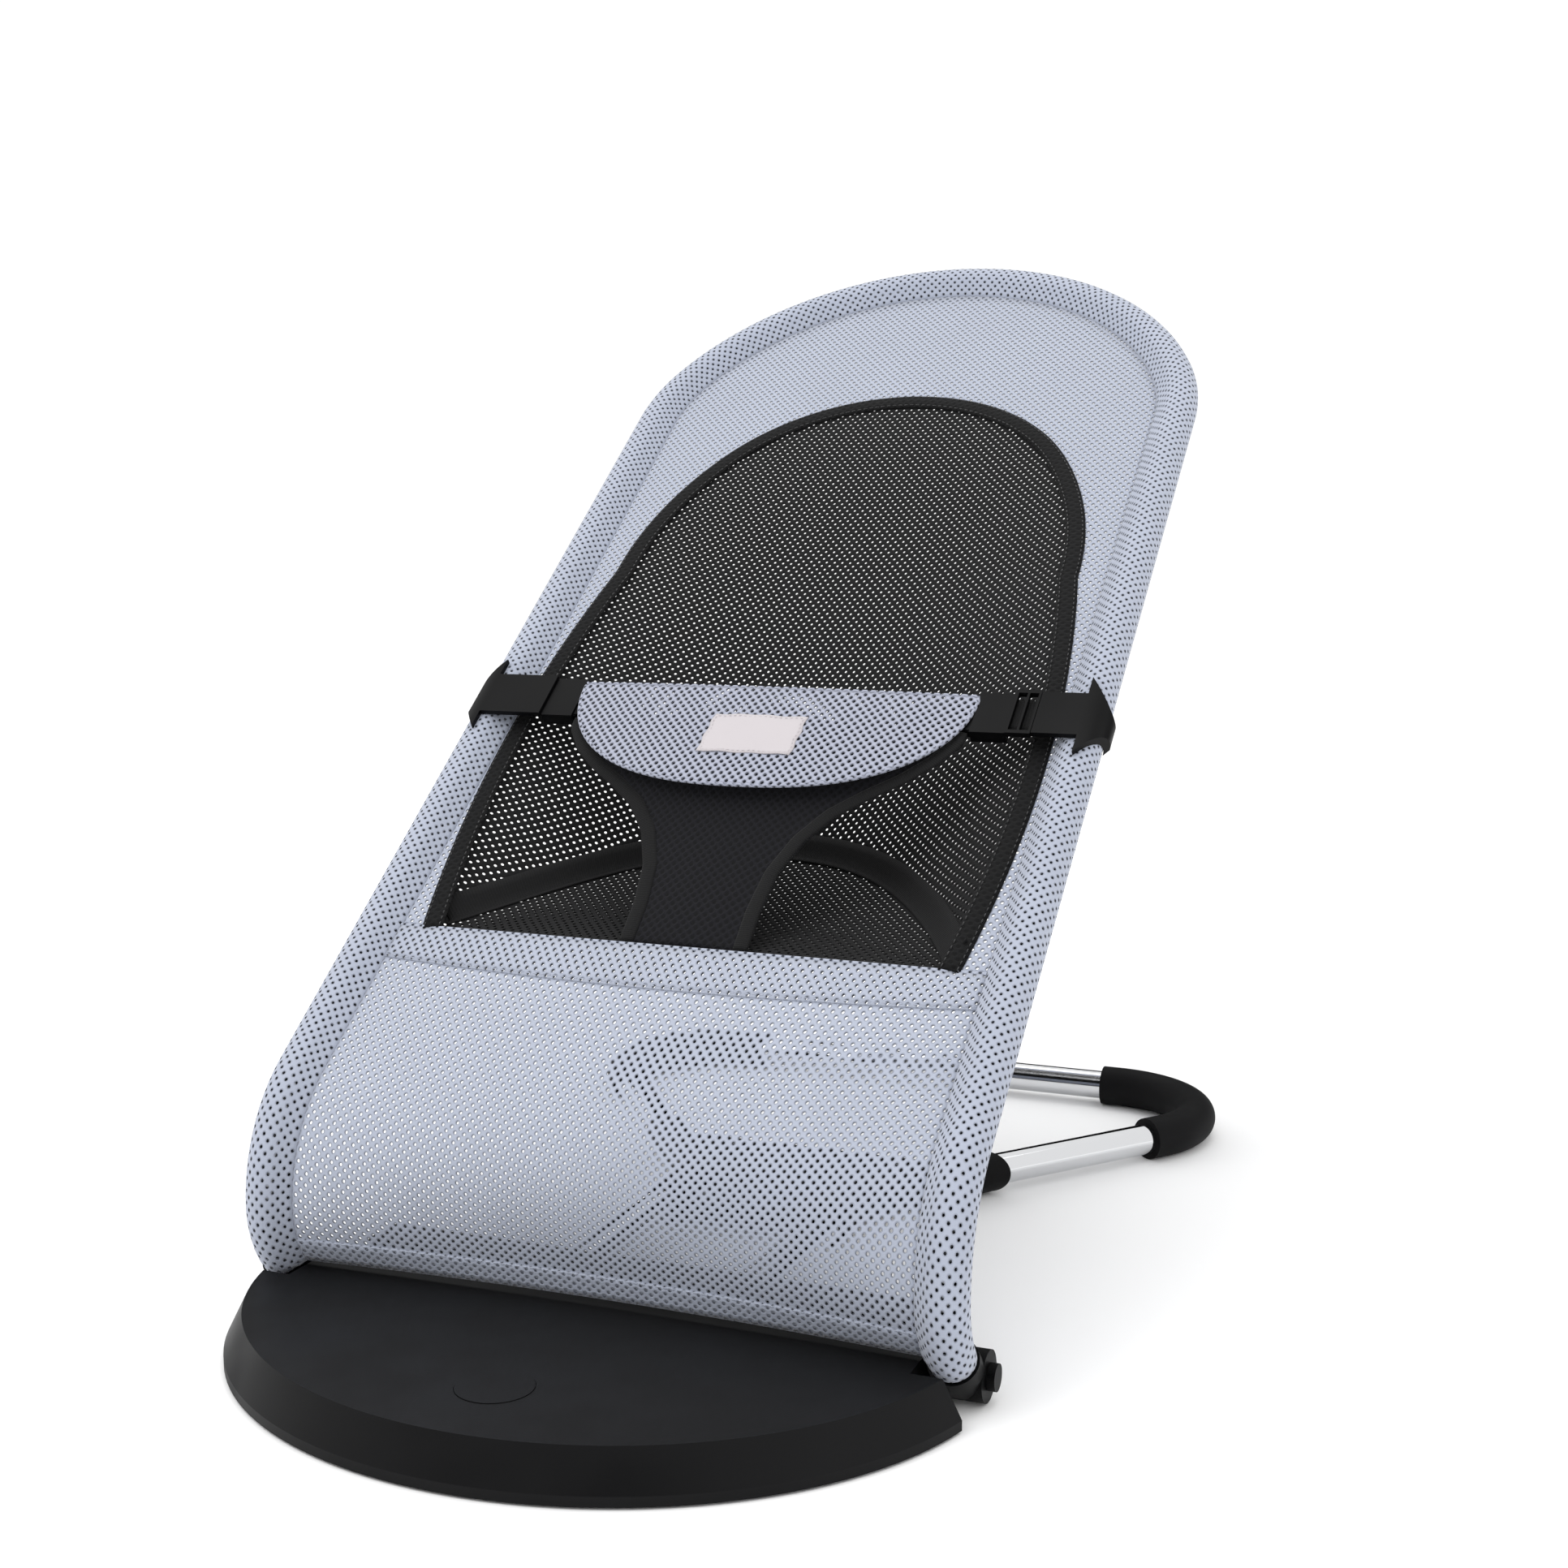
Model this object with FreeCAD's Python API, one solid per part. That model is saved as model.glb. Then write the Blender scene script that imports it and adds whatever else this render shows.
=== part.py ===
import FreeCAD, Part
import math
import os

V = FreeCAD.Vector
os.makedirs("parts", exist_ok=True)

# Bouncer seat. +X is to the right seen from the foot end, +Y points to the head end, +Z is up and
# z = 0 is the floor. "Right" names are on the +X side.
# The model is drawn with y = 0 near the seat hinge and moved on export, so that the origin is at
# the middle of the footprint. "Back plane" places use x, v along the back from the lower bend,
# and d above the plane through the side tubes' centre lines.

# --- driving dimensions (mm) --------------------------------------------------------------
tube_dia = 19.0
tube_wall = 1.5
frame_half_width = 181.0      # middle of the seat to a side tube's centre line
back_angle = 38.35            # back above the floor, degrees
back_length = 719.0           # lower bend to the top of the head hoop
hoop_rise = 161.0             # top of the hoop above where it leaves the straight back
hoop_side_radius = 120.0
hoop_straight = 88.0          # straight end of the hoop, down to its joint with a side tube
spigot_length = 40.0
spigot_held = 12.0            # spigot inside the hoop
upper_bend_radius = 80.0
lower_bend_radius = 49.0
hinge_lead_angle = 23.0       # from the lower bend's lowest point forward to the hinge, degrees
tube_end_turn = 240.0         # round the lower bend: end of a side tube
shoe_end_turn = 246.0         # lower end of the shoe's collar
shoe_top_turn = 222.0         # upper end of the shoe's collar
hinge_y = -1.0
axle_z = 13.0
axle_dia = 8.0

plate_half_width = 196.0
plate_depth = 180.0
plate_centre_y = 5.0
plate_height = 24.0
plate_rim = 6.0
plate_chamfer = 9.0
plate_wall = 2.2
plate_rear_y = 6.0            # rear edge of the cover, in front of the fabric
plate_corner_y = -36.0        # rear edge at the corners, in front of the tube shoes
plate_corner_x = 166.0
badge_y = -118.0
badge_radius = 18.0
badge_recess = 1.0
badge_thick = 1.3
tray_thick = 1.5
pad_thick = 1.2
pad_radius = 13.0
pad_places = {"front": (70.0, -105.0), "rear": (140.0, -25.0)}
boss_radius = 4.5
boss_hole = 12.0
boss_places = [(120.0, -60.0), (60.0, -130.0), (85.0, -22.0)]
screw_radius = 1.5
screw_head_radius = 2.85
screw_head_height = 1.2
tray_screw_length = 10.0
hinge_cover_front_y = 25.0
hinge_cover_rear_y = 52.0
hinge_cover_half_width = 158.0
bracket_x = 100.0             # inner face of an axle bracket's foot
bracket_foot = 14.0
bracket_ear = 6.0
disc_radius = 8.4
disc_width = 5.0
disc_notch = 1.2
disc_inset = 10.0             # from the corner notch in to the disc
cap_radius = 6.5
cap_length = 4.0
cap_grip = 2.7                # how much of the axle a cap covers
shoe_wall = 2.8
shoe_overhang = 2.5           # tube shoe's drum beyond the side tube

loop_half_width = 202.0       # floor loop's centre line at its widest
loop_rear_y = 505.0
loop_corner_radius = 65.0
loop_run_x = 50.0             # the two front runs
loop_flare_y = 216.0
loop_flare_radius = 70.0
sleeve_thick = 3.5
sleeve_bar_length = 10.0      # sleeve beyond the corner bend, along the rear bar
sleeve_side_length = 12.0     # sleeve beyond the corner bend, along the flare
brace_front_y = 165.0
brace_rear_y = 290.0
brace_web = 4.0
brace_screw_places = [(-30.0, 180.0), (30.0, 180.0), (-55.0, 275.0), (55.0, 275.0)]
saddle_width = 13.0
saddle_wall = 2.2
saddle_foot = 9.0             # foot beyond the tube on each side
saddle_foot_thick = 3.0
plug_stem = 12.0
clamp_wall = 3.0

fabric = 1.6                  # every sheet of mesh
tunnel_wall = 1.5
pocket_v = 100.0              # top edge of the lower panel
crease_v = 222.0              # deepest point of the seat crease
crease_depth = 60.0
arch_half_width = 144.0       # black back mesh
arch_foot_half_width = 152.0
arch_belly_half_width = 159.0
arch_belly_share = 29 / 60    # of the way from the pocket edge up to the arch's spring
arch_rise = 178.0
arch_side_radius = 220.0
head_band = 141.0             # from the top of the arch to the top of the hoop
arch_tape = 10.0
hem_y = 8.0
hem_gap = 2.5                 # hem above the plate, in the middle
side_hem_gap = 1.96           # and at the tubes
panel_bow = 30.0              # how far the lower panel's middle stands forward
panel_straight_share = 0.4    # of the panel's height along the straight tube
panel_upper_share = 0.35      # and along the upper bend

belt_v = 272.0
belt_depth = 9.0
belt_width = 28.0
belt_thick = 1.4
webbing_end_x = 165.0
lock_inner_x = 141.5          # ladder lock
lock_width = 14.0
lock_bar = 1.3
lock_thick = 3.2
lock_rim = 2.5
lock_overhang = 3.0           # beyond the webbing's edges
crescent_top_v = 284.0
crescent_dip = 4.0            # its top edge is lower in the middle
crescent_end_v = 246.0
crescent_low_v = 203.0
crotch_top_v = 232.0
crotch_low_v = 110.0
crotch_top_half_width = 78.0
crotch_low_half_width = 35.0
crotch_waist_half_width = 50.0
crotch_waist_share = 0.6      # of the way up the panel
label_width = 57.0
label_height = 31.0
label_v = 242.0
anchor_length = 58.0
anchor_wall = 3.0
anchor_wrap = 4.0             # below the side tube's middle
anchor_point = 6.0            # half the flat at its outer point
socket_outer_x = 141.0
socket_inner_x = 121.0
socket_half_width = 15.5
socket_half_thick = 3.8
socket_wall = 1.4
tongue_lip = 0.6              # how far the tongue stands above its prongs
prong_length = 14.0
prong_width = 4.0
shoulder_length = 12.0        # tongue outside the socket
shoulder_half_width = 13.0
strap_length = 26.0
strap_half_width = 11.0

running = 0.05                # radial clearance of a turning or sliding metal fit
grip = 0.15                   # radial clearance of a moulded part clamped on a tube
gap = 0.3                     # clearance of soft and moulded parts
body_gap = 1.0                # clearance round a part that swings

# --- derived places -----------------------------------------------------------------------
tube_r = tube_dia / 2
bore_r = tube_r - tube_wall
axle_r = axle_dia / 2
tunnel_r = tube_r + gap + tunnel_wall
sling_half_width = frame_half_width - tunnel_r - gap
slope = math.radians(back_angle)
along = V(0, math.cos(slope), math.sin(slope))
above = V(0, -math.sin(slope), math.cos(slope))
lead = math.radians(hinge_lead_angle)
lower_centre = V(
    0, hinge_y + lower_bend_radius * math.sin(lead), axle_z + lower_bend_radius * math.cos(lead)
)
upper_centre = lower_centre + V(0, upper_bend_radius - lower_bend_radius, 0)
back_start = upper_centre + above * upper_bend_radius
side_hem_drop = (lower_centre.z - plate_height - side_hem_gap) / lower_bend_radius
panel_low_turn = 180 + math.degrees(math.asin(side_hem_drop))
floor_front_y = plate_centre_y - plate_depth
head_y = (back_start + along * back_length).y + tunnel_r
y_shift = -(floor_front_y + head_y) / 2
tray_top = pad_thick + tray_thick
tray_screw_places = [(side * x, y) for x, y in boss_places for side in (-1, 1)]
plug_head = 2.5
loop_front_y = hinge_cover_front_y + plate_wall + gap + plug_head
saddle_y = loop_front_y + 3.0
sleeve_r = tube_r + sleeve_thick
loop_z = sleeve_r             # the sleeves stand on the floor
prong_half_thick = socket_half_thick - socket_wall - gap
crescent_half_width = socket_inner_x - gap
crescent_depth = belt_depth + prong_half_thick + tongue_lip + gap
shoe_r = tube_r + shoe_wall
cap_x = frame_half_width + shoe_r
hoop_spring = back_length - hoop_rise
hoop_joint = hoop_spring - hoop_straight
arch_top = back_length - head_band
arch_spring = arch_top - arch_rise
arch_belly_v = pocket_v + (arch_spring - pocket_v) * arch_belly_share
hem_z = plate_height + hem_gap
UP = V(0, 0, 1)
RIGHT = V(1, 0, 0)
FAR = 1000.0                  # past the part on any side, for cutting shapes


def save(name, shape):
    placed = shape.copy()
    placed.translate(V(0, y_shift, 0))
    placed.exportStep("parts/" + name + ".step")


def back(x, v, d=0.0):
    """A point of the back plane's own coordinates."""
    return V(x, back_start.y, back_start.z) + along * v + above * d


def mirror_x(shape):
    return shape.mirror(V(0, 0, 0), RIGHT)


def both_sides(name, right_shape):
    save(name + "_right", right_shape)
    save(name + "_left", mirror_x(right_shape))


def line(a, b):
    return Part.LineSegment(a, b).toShape()


def arc(a, b, c):
    return Part.Arc(a, b, c).toShape()


def box(low, high):
    size = high - low
    return Part.makeBox(size.x, size.y, size.z, low)


def back_box(low, high):
    """A box in back plane coordinates; low and high are (x, v, d)."""
    corners = [(low[0], low[1]), (high[0], low[1]), (high[0], high[1]), (low[0], high[1])]
    points = [back(x, v, low[2]) for x, v in corners]
    face = Part.Face(Part.makePolygon(points + points[:1]))
    return face.extrude(above * (high[2] - low[2]))


def pipe(edges, radius):
    first = edges[0]
    start = first.valueAt(first.FirstParameter)
    ring = Part.Wire(Part.makeCircle(radius, start, first.tangentAt(first.FirstParameter)))
    return Part.Wire(edges).makePipeShell([ring], True, True)


def hollow_pipe(edges, outer, inner):
    return pipe(edges, outer).cut(pipe(edges, inner))


# --- side tube's centre line --------------------------------------------------------------
def bend_point(centre, radius, degrees, x):
    turn = math.radians(degrees)
    return V(x, centre.y + radius * math.cos(turn), centre.z + radius * math.sin(turn))


def lower_point(degrees, x=frame_half_width):
    return bend_point(lower_centre, lower_bend_radius, degrees, x)


def upper_point(degrees, x=frame_half_width):
    return bend_point(upper_centre, upper_bend_radius, degrees, x)


def lower_bend(start, end):
    return arc(lower_point(start), lower_point((start + end) / 2), lower_point(end))


def side_edges(from_angle, to_v):
    """Lower end (angle round the lower bend) up the two bends and along the back to to_v."""
    x = frame_half_width
    turn = 90 + back_angle
    low = lower_bend(from_angle, 180)
    high = arc(upper_point(180), upper_point((180 + turn) / 2), upper_point(turn))
    return [low, high, line(back(x, 0), back(x, to_v))]


# --- arches in the back plane -------------------------------------------------------------
def arch_edges(half_width, start_v, spring_v, side_radius, top_v, start_x=None, d=0.0):
    """Up the right side, over a three-arc arch and down the left side."""
    rise = top_v - spring_v
    reach = half_width - side_radius
    crown_radius = (reach**2 + rise**2 - side_radius**2) / (2 * (rise - side_radius))
    crown_v = top_v - crown_radius
    step = crown_radius - side_radius
    turn = math.atan2((spring_v - crown_v) / step, reach / step)

    def on_side(angle):
        return reach + side_radius * math.cos(angle), spring_v + side_radius * math.sin(angle)

    foot = (half_width if start_x is None else start_x, start_v)
    outline = [foot, on_side(0), on_side(turn / 2), on_side(turn)]
    right = [back(x, v, d) for x, v in outline]
    left = [back(-x, v, d) for x, v in outline]
    crown = back(0, top_v, d)
    return [
        line(right[0], right[1]),
        arc(right[1], right[2], right[3]),
        arc(right[3], crown, left[3]),
        arc(left[3], left[2], left[1]),
        line(left[1], left[0]),
    ]


def closed_prism(edges, low_d, high_d):
    """The arch outline closed along its foot, as a solid between two depths."""
    first = edges[0].Vertexes[0].Point
    last = edges[-1].Vertexes[-1].Point
    face = Part.Face(Part.Wire(edges + [line(last, first)]))
    face.translate(above * low_d)
    return face.extrude(above * (high_d - low_d))


def insert_edges(inset=0.0):
    """Outline of the black back mesh, drawn in by inset."""
    grown = arch_edges(
        arch_half_width - inset,
        pocket_v,
        arch_spring,
        arch_side_radius - inset,
        arch_top - inset,
        start_x=arch_foot_half_width - inset,
    )
    belly = back(arch_belly_half_width - inset, arch_belly_v)
    for index, side in ((0, 1), (4, -1)):
        foot = back(side * (arch_foot_half_width - inset), pocket_v)
        top = back(side * (arch_half_width - inset), arch_spring)
        middle = V(side * belly.x, belly.y, belly.z)
        grown[index] = arc(foot, middle, top) if side > 0 else arc(top, middle, foot)
    return grown


# --- sheets through a grid of points ------------------------------------------------------
def sheet(rows, thickness, direction):
    surface = Part.BSplineSurface()
    surface.interpolate(rows)
    return surface.toShape().extrude(direction * thickness)


def spread(low, high, count):
    return [low + (high - low) * i / (count - 1) for i in range(count)]


def across(x):
    """How deep the sling hangs at x, as a share of its depth in the middle."""
    return 1 - min(1.0, abs(x) / arch_belly_half_width) ** 2.4


def crease_at(x):
    return pocket_v + 2 + (crease_v - pocket_v - 2) * across(x)


def back_mesh_depth(x, v):
    """Full depth at the crease, rising to the arch."""
    share = max(0.0, (arch_top - v) / (arch_top - crease_at(x)))
    return crease_depth * across(x) * min(1.0, share) ** 1.3


def back_mesh_solid():
    x_max = arch_belly_half_width - 1.0
    rows = []
    for x in spread(-x_max, x_max, 13):
        low = crease_at(x) + gap
        rows.append([back(x, v, -back_mesh_depth(x, v)) for v in spread(low, arch_top + 20, 11)])
    solid = sheet(rows, -fabric, above)
    inside = closed_prism(insert_edges(gap), -2 * crease_depth, fabric)
    return solid.common(inside)


def seat_mesh_solid():
    """From the crease forward to the pocket edge."""
    x_max = arch_foot_half_width - 4.0
    rows = []
    for x in spread(-x_max, x_max, 13):
        top = back(x, crease_at(x) - gap, -crease_depth * across(x))
        foot = back(x, pocket_v + gap, -fabric)
        rows.append([foot + (top - foot) * share for share in spread(0.0, 1.0, 4)])
    return sheet(rows, -fabric, above)


def sling_outline(inset=0.0):
    return arch_edges(
        sling_half_width - inset,
        pocket_v,
        hoop_spring,
        hoop_side_radius - tunnel_r - gap - inset,
        back_length - tunnel_r - gap - inset,
    )


def surround_solid():
    outer = closed_prism(sling_outline(), -fabric / 2, fabric / 2)
    return outer.cut(closed_prism(insert_edges(), -fabric, fabric))


def arch_binding_solid():
    """Tape over the seam between surround and back mesh."""
    low = fabric / 2 + 0.05
    tape = closed_prism(insert_edges(-arch_tape / 2), low, low + 1.0)
    hole = closed_prism(insert_edges(arch_tape / 2), 0, 2 * fabric)
    foot = back_box((-FAR, 0, -FAR), (FAR, pocket_v + 3, FAR))
    return tape.cut(hole).cut(foot)


def lower_panel_solid():
    """Front panel: round the tubes at its sides, drawn back to the hem in the middle."""
    top_turn = 90 + back_angle
    bends_share = panel_straight_share + panel_upper_share
    rows = []
    hem = V(0, hem_y, hem_z)
    pocket = back(0, pocket_v - gap)
    for x in spread(-sling_half_width, sling_half_width, 9):
        middle_share = 1 - (abs(x) / sling_half_width) ** 2
        column = []
        for share in spread(0.0, 1.0, 15):
            if share < panel_straight_share:
                side = back(x, (pocket_v - gap) * (1 - share / panel_straight_share))
            elif share < bends_share:
                part = (share - panel_straight_share) / panel_upper_share
                side = upper_point(top_turn + (180 - top_turn) * part, x)
            else:
                part = (share - bends_share) / (1 - bends_share)
                side = lower_point(180 + (panel_low_turn - 180) * part, x)
            straight = pocket + (hem - pocket) * share
            bowed = straight + V(0, -panel_bow * math.sin(math.pi * share), 0)
            middle = V(x, bowed.y, bowed.z)
            column.append(side + (middle - side) * middle_share)
        rows.append(column)
    return sheet(rows, fabric, V(0, -1, 0))


# --- footplate ----------------------------------------------------------------------------
def plate_outline(inset, z):
    """Front half of the ellipse, closed across its widest line."""
    centre = V(0, plate_centre_y, z)
    ellipse = Part.Ellipse(centre, plate_half_width - inset, plate_depth - inset)
    half = Part.ArcOfEllipse(ellipse, math.pi, 2 * math.pi).toShape()
    ends = [vertex.Point for vertex in half.Vertexes]
    return Part.Wire([half, line(ends[1], ends[0])])


def plate_block(inset, low_z, high_z):
    rim_top = plate_rim
    rim = Part.Face(plate_outline(inset, low_z)).extrude(V(0, 0, rim_top - low_z))
    cone = Part.makeLoft(
        [plate_outline(inset, rim_top), plate_outline(inset + plate_chamfer, high_z)], True, True
    )
    return rim.fuse(cone)


def corner_cuts(grow=0.0):
    """Room for the tube shoes, and the straight rear edge."""
    notch = box(V(plate_corner_x - grow, plate_corner_y - grow, -FAR), V(FAR, FAR, FAR))
    rear = box(V(-FAR, plate_rear_y - grow, -FAR), V(FAR, FAR, FAR))
    return notch.fuse(mirror_x(notch)).fuse(rear)


def footplate_cover():
    outer = plate_block(0, pad_thick, plate_height).cut(corner_cuts())
    inner = plate_block(plate_wall, 0, plate_height - plate_wall)
    wall_low = V(plate_corner_x - plate_wall, plate_corner_y - plate_wall, 0)
    corner_wall = box(wall_low, V(FAR, FAR, FAR))
    cover = outer.cut(inner.cut(corner_wall).cut(mirror_x(corner_wall)))
    for x, y in tray_screw_places:
        boss = Part.makeCylinder(
            boss_radius, plate_height - plate_wall - tray_top, V(x, y, tray_top), UP
        )
        hole = Part.makeCylinder(screw_radius + running, boss_hole, V(x, y, tray_top), UP)
        cover = cover.fuse(boss).cut(hole)
    badge_floor = V(0, badge_y, plate_height - badge_recess)
    cover = cover.cut(Part.makeCylinder(badge_radius + gap, badge_recess, badge_floor, UP))
    axle_room = Part.makeCylinder(axle_r + body_gap, 2 * FAR, V(-FAR, hinge_y, axle_z), RIGHT)
    return cover.cut(axle_room).removeSplitter()


def floor_tube_room(from_y, to_y):
    """Space for the two front runs of the floor loop."""
    bore = Part.makeCylinder(tube_r + gap, to_y - from_y, V(loop_run_x, from_y, loop_z), V(0, 1, 0))
    low = box(V(loop_run_x - tube_r - gap, from_y, -1), V(loop_run_x + tube_r + gap, to_y, loop_z))
    room = bore.fuse(low)
    return room.fuse(mirror_x(room))


def is_at(edge, x=None, y=None, z=None):
    centre = edge.CenterOfMass
    pairs = ((abs(centre.x), x), (centre.y, y), (centre.z, z))
    return all(want is None or abs(value - want) < 0.01 for value, want in pairs)


def hinge_cover():
    """Low cover behind the fabric slot, on the tray; the floor tubes pass under it."""
    half = hinge_cover_half_width
    rear = hinge_cover_rear_y
    chamfer = 2 * plate_wall
    outer = box(V(-half, hinge_cover_front_y, tray_top), V(half, rear, plate_height))
    outer = outer.makeChamfer(chamfer, [e for e in outer.Edges if is_at(e, x=half, y=rear)])
    outer = outer.makeChamfer(
        chamfer / 2, [e for e in outer.Edges if is_at(e, x=0, y=rear, z=plate_height)]
    )
    inner = box(
        V(-half + plate_wall, hinge_cover_front_y + plate_wall, 0),
        V(half - plate_wall, rear - chamfer, plate_height - plate_wall),
    )
    return outer.cut(inner).cut(floor_tube_room(loop_front_y - plug_head - gap, rear + 1))


def tray():
    inset = plate_wall + gap
    plate = Part.Face(plate_outline(inset, pad_thick)).extrude(V(0, 0, tray_thick))
    plate = plate.cut(corner_cuts(inset))
    half = hinge_cover_half_width
    rear = box(V(-half, plate_rear_y - 2 * inset, pad_thick), V(half, hinge_cover_rear_y, tray_top))
    plate = plate.fuse(rear)
    for x, y in tray_screw_places:
        plate = plate.cut(Part.makeCylinder(screw_radius + gap, tray_top, V(x, y, 0), UP))
    return plate.removeSplitter()


def screw(x, y, head_z, shank, direction=1):
    """Pan head under a straight shank; direction +1 drives upwards."""
    axis = V(0, 0, direction)
    top = V(x, y, head_z) - axis * screw_head_height
    head = Part.makeCylinder(screw_head_radius, screw_head_height, top, axis)
    return head.fuse(Part.makeCylinder(screw_radius, shank, V(x, y, head_z), axis))


def group(shapes):
    return Part.Compound(shapes)


def axle_bracket():
    rear_y = plate_rear_y + body_gap
    foot = box(
        V(bracket_x, hinge_y - bracket_foot, tray_top),
        V(bracket_x + bracket_foot, rear_y, tray_top + saddle_foot_thick),
    )
    ear_x = bracket_x + (bracket_foot - bracket_ear) / 2
    ear = box(
        V(ear_x, hinge_y - 2 * axle_r, tray_top),
        V(ear_x + bracket_ear, rear_y, plate_height - plate_wall - gap),
    )
    bore_x = bracket_x - bracket_foot
    bore = Part.makeCylinder(axle_r + running, 3 * bracket_foot, V(bore_x, hinge_y, axle_z), RIGHT)
    return foot.fuse(ear).cut(bore).removeSplitter()


def detent_disc():
    """Keyed on the axle; three notches for the seat's three positions."""
    x = plate_corner_x - plate_wall - gap - disc_inset
    disc = Part.makeCylinder(disc_radius, disc_width, V(x, hinge_y, axle_z), RIGHT)
    bore_x = x - disc_width
    bore = Part.makeCylinder(axle_r + running, 3 * disc_width, V(bore_x, hinge_y, axle_z), RIGHT)
    disc = disc.cut(bore)
    for degrees in (60, 90, 120):
        turn = math.radians(degrees)
        rim = V(0, math.cos(turn), math.sin(turn)) * disc_radius
        centre = V(bore_x, hinge_y, axle_z) + rim
        disc = disc.cut(Part.makeCylinder(disc_notch, 3 * disc_width, centre, RIGHT))
    return disc


# --- floor loop ---------------------------------------------------------------------------
def loop_route():
    """Right half of the loop's centre line: points and tangent places."""
    corner = V(loop_half_width - loop_corner_radius, loop_rear_y - loop_corner_radius, loop_z)
    start = V(loop_run_x, loop_flare_y, loop_z)
    reach = corner - start
    distance = reach.Length
    heading = math.atan2(reach.y, reach.x) - math.asin(loop_corner_radius / distance)
    flare = V(math.cos(heading), math.sin(heading), 0)
    run = math.sqrt(distance**2 - loop_corner_radius**2)
    touch = start + flare * run
    tangent = loop_flare_radius * math.tan((math.pi / 2 - heading) / 2)
    bend_in = start - V(0, tangent, 0)
    bend_out = start + flare * tangent
    bend_centre = bend_in + V(loop_flare_radius, 0, 0)
    towards = (start - bend_centre).normalize()
    bend_mid = bend_centre + towards * loop_flare_radius
    middle_turn = heading / 2
    corner_mid = corner + V(
        loop_corner_radius * math.cos(middle_turn), loop_corner_radius * math.sin(middle_turn), 0
    )
    return {
        "flare": flare,
        "touch": touch,
        "bend_in": bend_in,
        "bend_mid": bend_mid,
        "bend_out": bend_out,
        "corner_mid": corner_mid,
        "corner_top": corner + V(0, loop_corner_radius, 0),
    }


def half_loop_edges(front_y, route):
    return [
        line(V(loop_run_x, front_y, loop_z), route["bend_in"]),
        arc(route["bend_in"], route["bend_mid"], route["bend_out"]),
        line(route["bend_out"], route["touch"]),
        arc(route["touch"], route["corner_mid"], route["corner_top"]),
        line(route["corner_top"], V(0, loop_rear_y, loop_z)),
    ]


def floor_loop(route):
    edges = half_loop_edges(loop_front_y, route)
    half = hollow_pipe(edges, tube_r, bore_r)
    return half.fuse(mirror_x(half)).removeSplitter()


def corner_sleeve(route):
    flare_start = route["touch"] - route["flare"] * sleeve_side_length
    edges = [
        line(flare_start, route["touch"]),
        arc(route["touch"], route["corner_mid"], route["corner_top"]),
        line(route["corner_top"], route["corner_top"] - V(sleeve_bar_length, 0, 0)),
    ]
    return hollow_pipe(edges, sleeve_r, tube_r + running)


def loop_plug():
    """Cap pushed into the front end of a floor tube."""
    end = V(loop_run_x, loop_front_y, loop_z)
    back_way = V(0, 1, 0)
    stem = Part.makeCylinder(bore_r - running, plug_stem, end, back_way)
    return stem.fuse(Part.makeCylinder(tube_r, plug_head, end - back_way * plug_head, back_way))


def tube_saddle():
    """Moulded strap that holds a floor tube down on the tray."""
    y = saddle_y
    reach = tube_r + saddle_foot
    low = V(loop_run_x - reach, y, tray_top)
    high = V(loop_run_x + reach, y + saddle_width, tray_top + saddle_foot_thick)
    foot = box(low, high)
    over_tube = tube_r + saddle_wall
    hump = Part.makeCylinder(over_tube, saddle_width, V(loop_run_x, y, loop_z), V(0, 1, 0))
    hump = hump.common(box(V(0, -FAR, tray_top), V(FAR, FAR, plate_height - plate_wall - gap)))
    bore_start = V(loop_run_x, y - saddle_width, loop_z)
    bore = Part.makeCylinder(tube_r + grip / 2, 3 * saddle_width, bore_start, V(0, 1, 0))
    return foot.fuse(hump).cut(bore).removeSplitter()


def brace_block(route):
    """Web between the floor tubes with a clamp round each, before it is split in two."""
    edges = half_loop_edges(0, route)
    clamp = pipe(edges[:3], tube_r + clamp_wall)
    slab = box(V(-FAR, brace_front_y, -FAR), V(FAR, brace_rear_y, FAR))
    clamps = clamp.common(slab)
    at_rear = route["bend_out"] + route["flare"] * (
        (brace_rear_y - route["bend_out"].y) / route["flare"].y
    )
    at_bend = route["bend_in"]
    corners = [
        V(loop_run_x, brace_front_y, 0),
        V(loop_run_x, at_bend.y, 0),
        V(route["bend_mid"].x, route["bend_mid"].y, 0),
        V(at_rear.x, brace_rear_y, 0),
    ]
    outline = corners + [V(-p.x, p.y, 0) for p in reversed(corners)]
    web = Part.Face(Part.makePolygon(outline + outline[:1])).extrude(V(0, 0, brace_web))
    web.translate(V(0, 0, loop_z - brace_web / 2))
    block = web.fuse(clamps).fuse(mirror_x(clamps))
    bore = pipe(edges[:3], tube_r + grip)
    return block.cut(bore).cut(mirror_x(bore)).removeSplitter()


def brace_parts(route):
    block = brace_block(route)
    for x, y in brace_screw_places:
        block = block.cut(Part.makeCylinder(screw_radius + running, FAR, V(x, y, 0), UP))
    upper = block.common(box(V(-FAR, 0, loop_z), V(FAR, FAR, FAR)))
    lower = block.common(box(V(-FAR, 0, -FAR), V(FAR, FAR, loop_z)))
    top = loop_z + brace_web / 2
    screws = [screw(x, y, top, brace_web, -1) for x, y in brace_screw_places]
    return upper, lower, group(screws)


# --- seat frame ---------------------------------------------------------------------------
def side_tube():
    return hollow_pipe(side_edges(tube_end_turn, hoop_joint), tube_r, bore_r)


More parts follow.
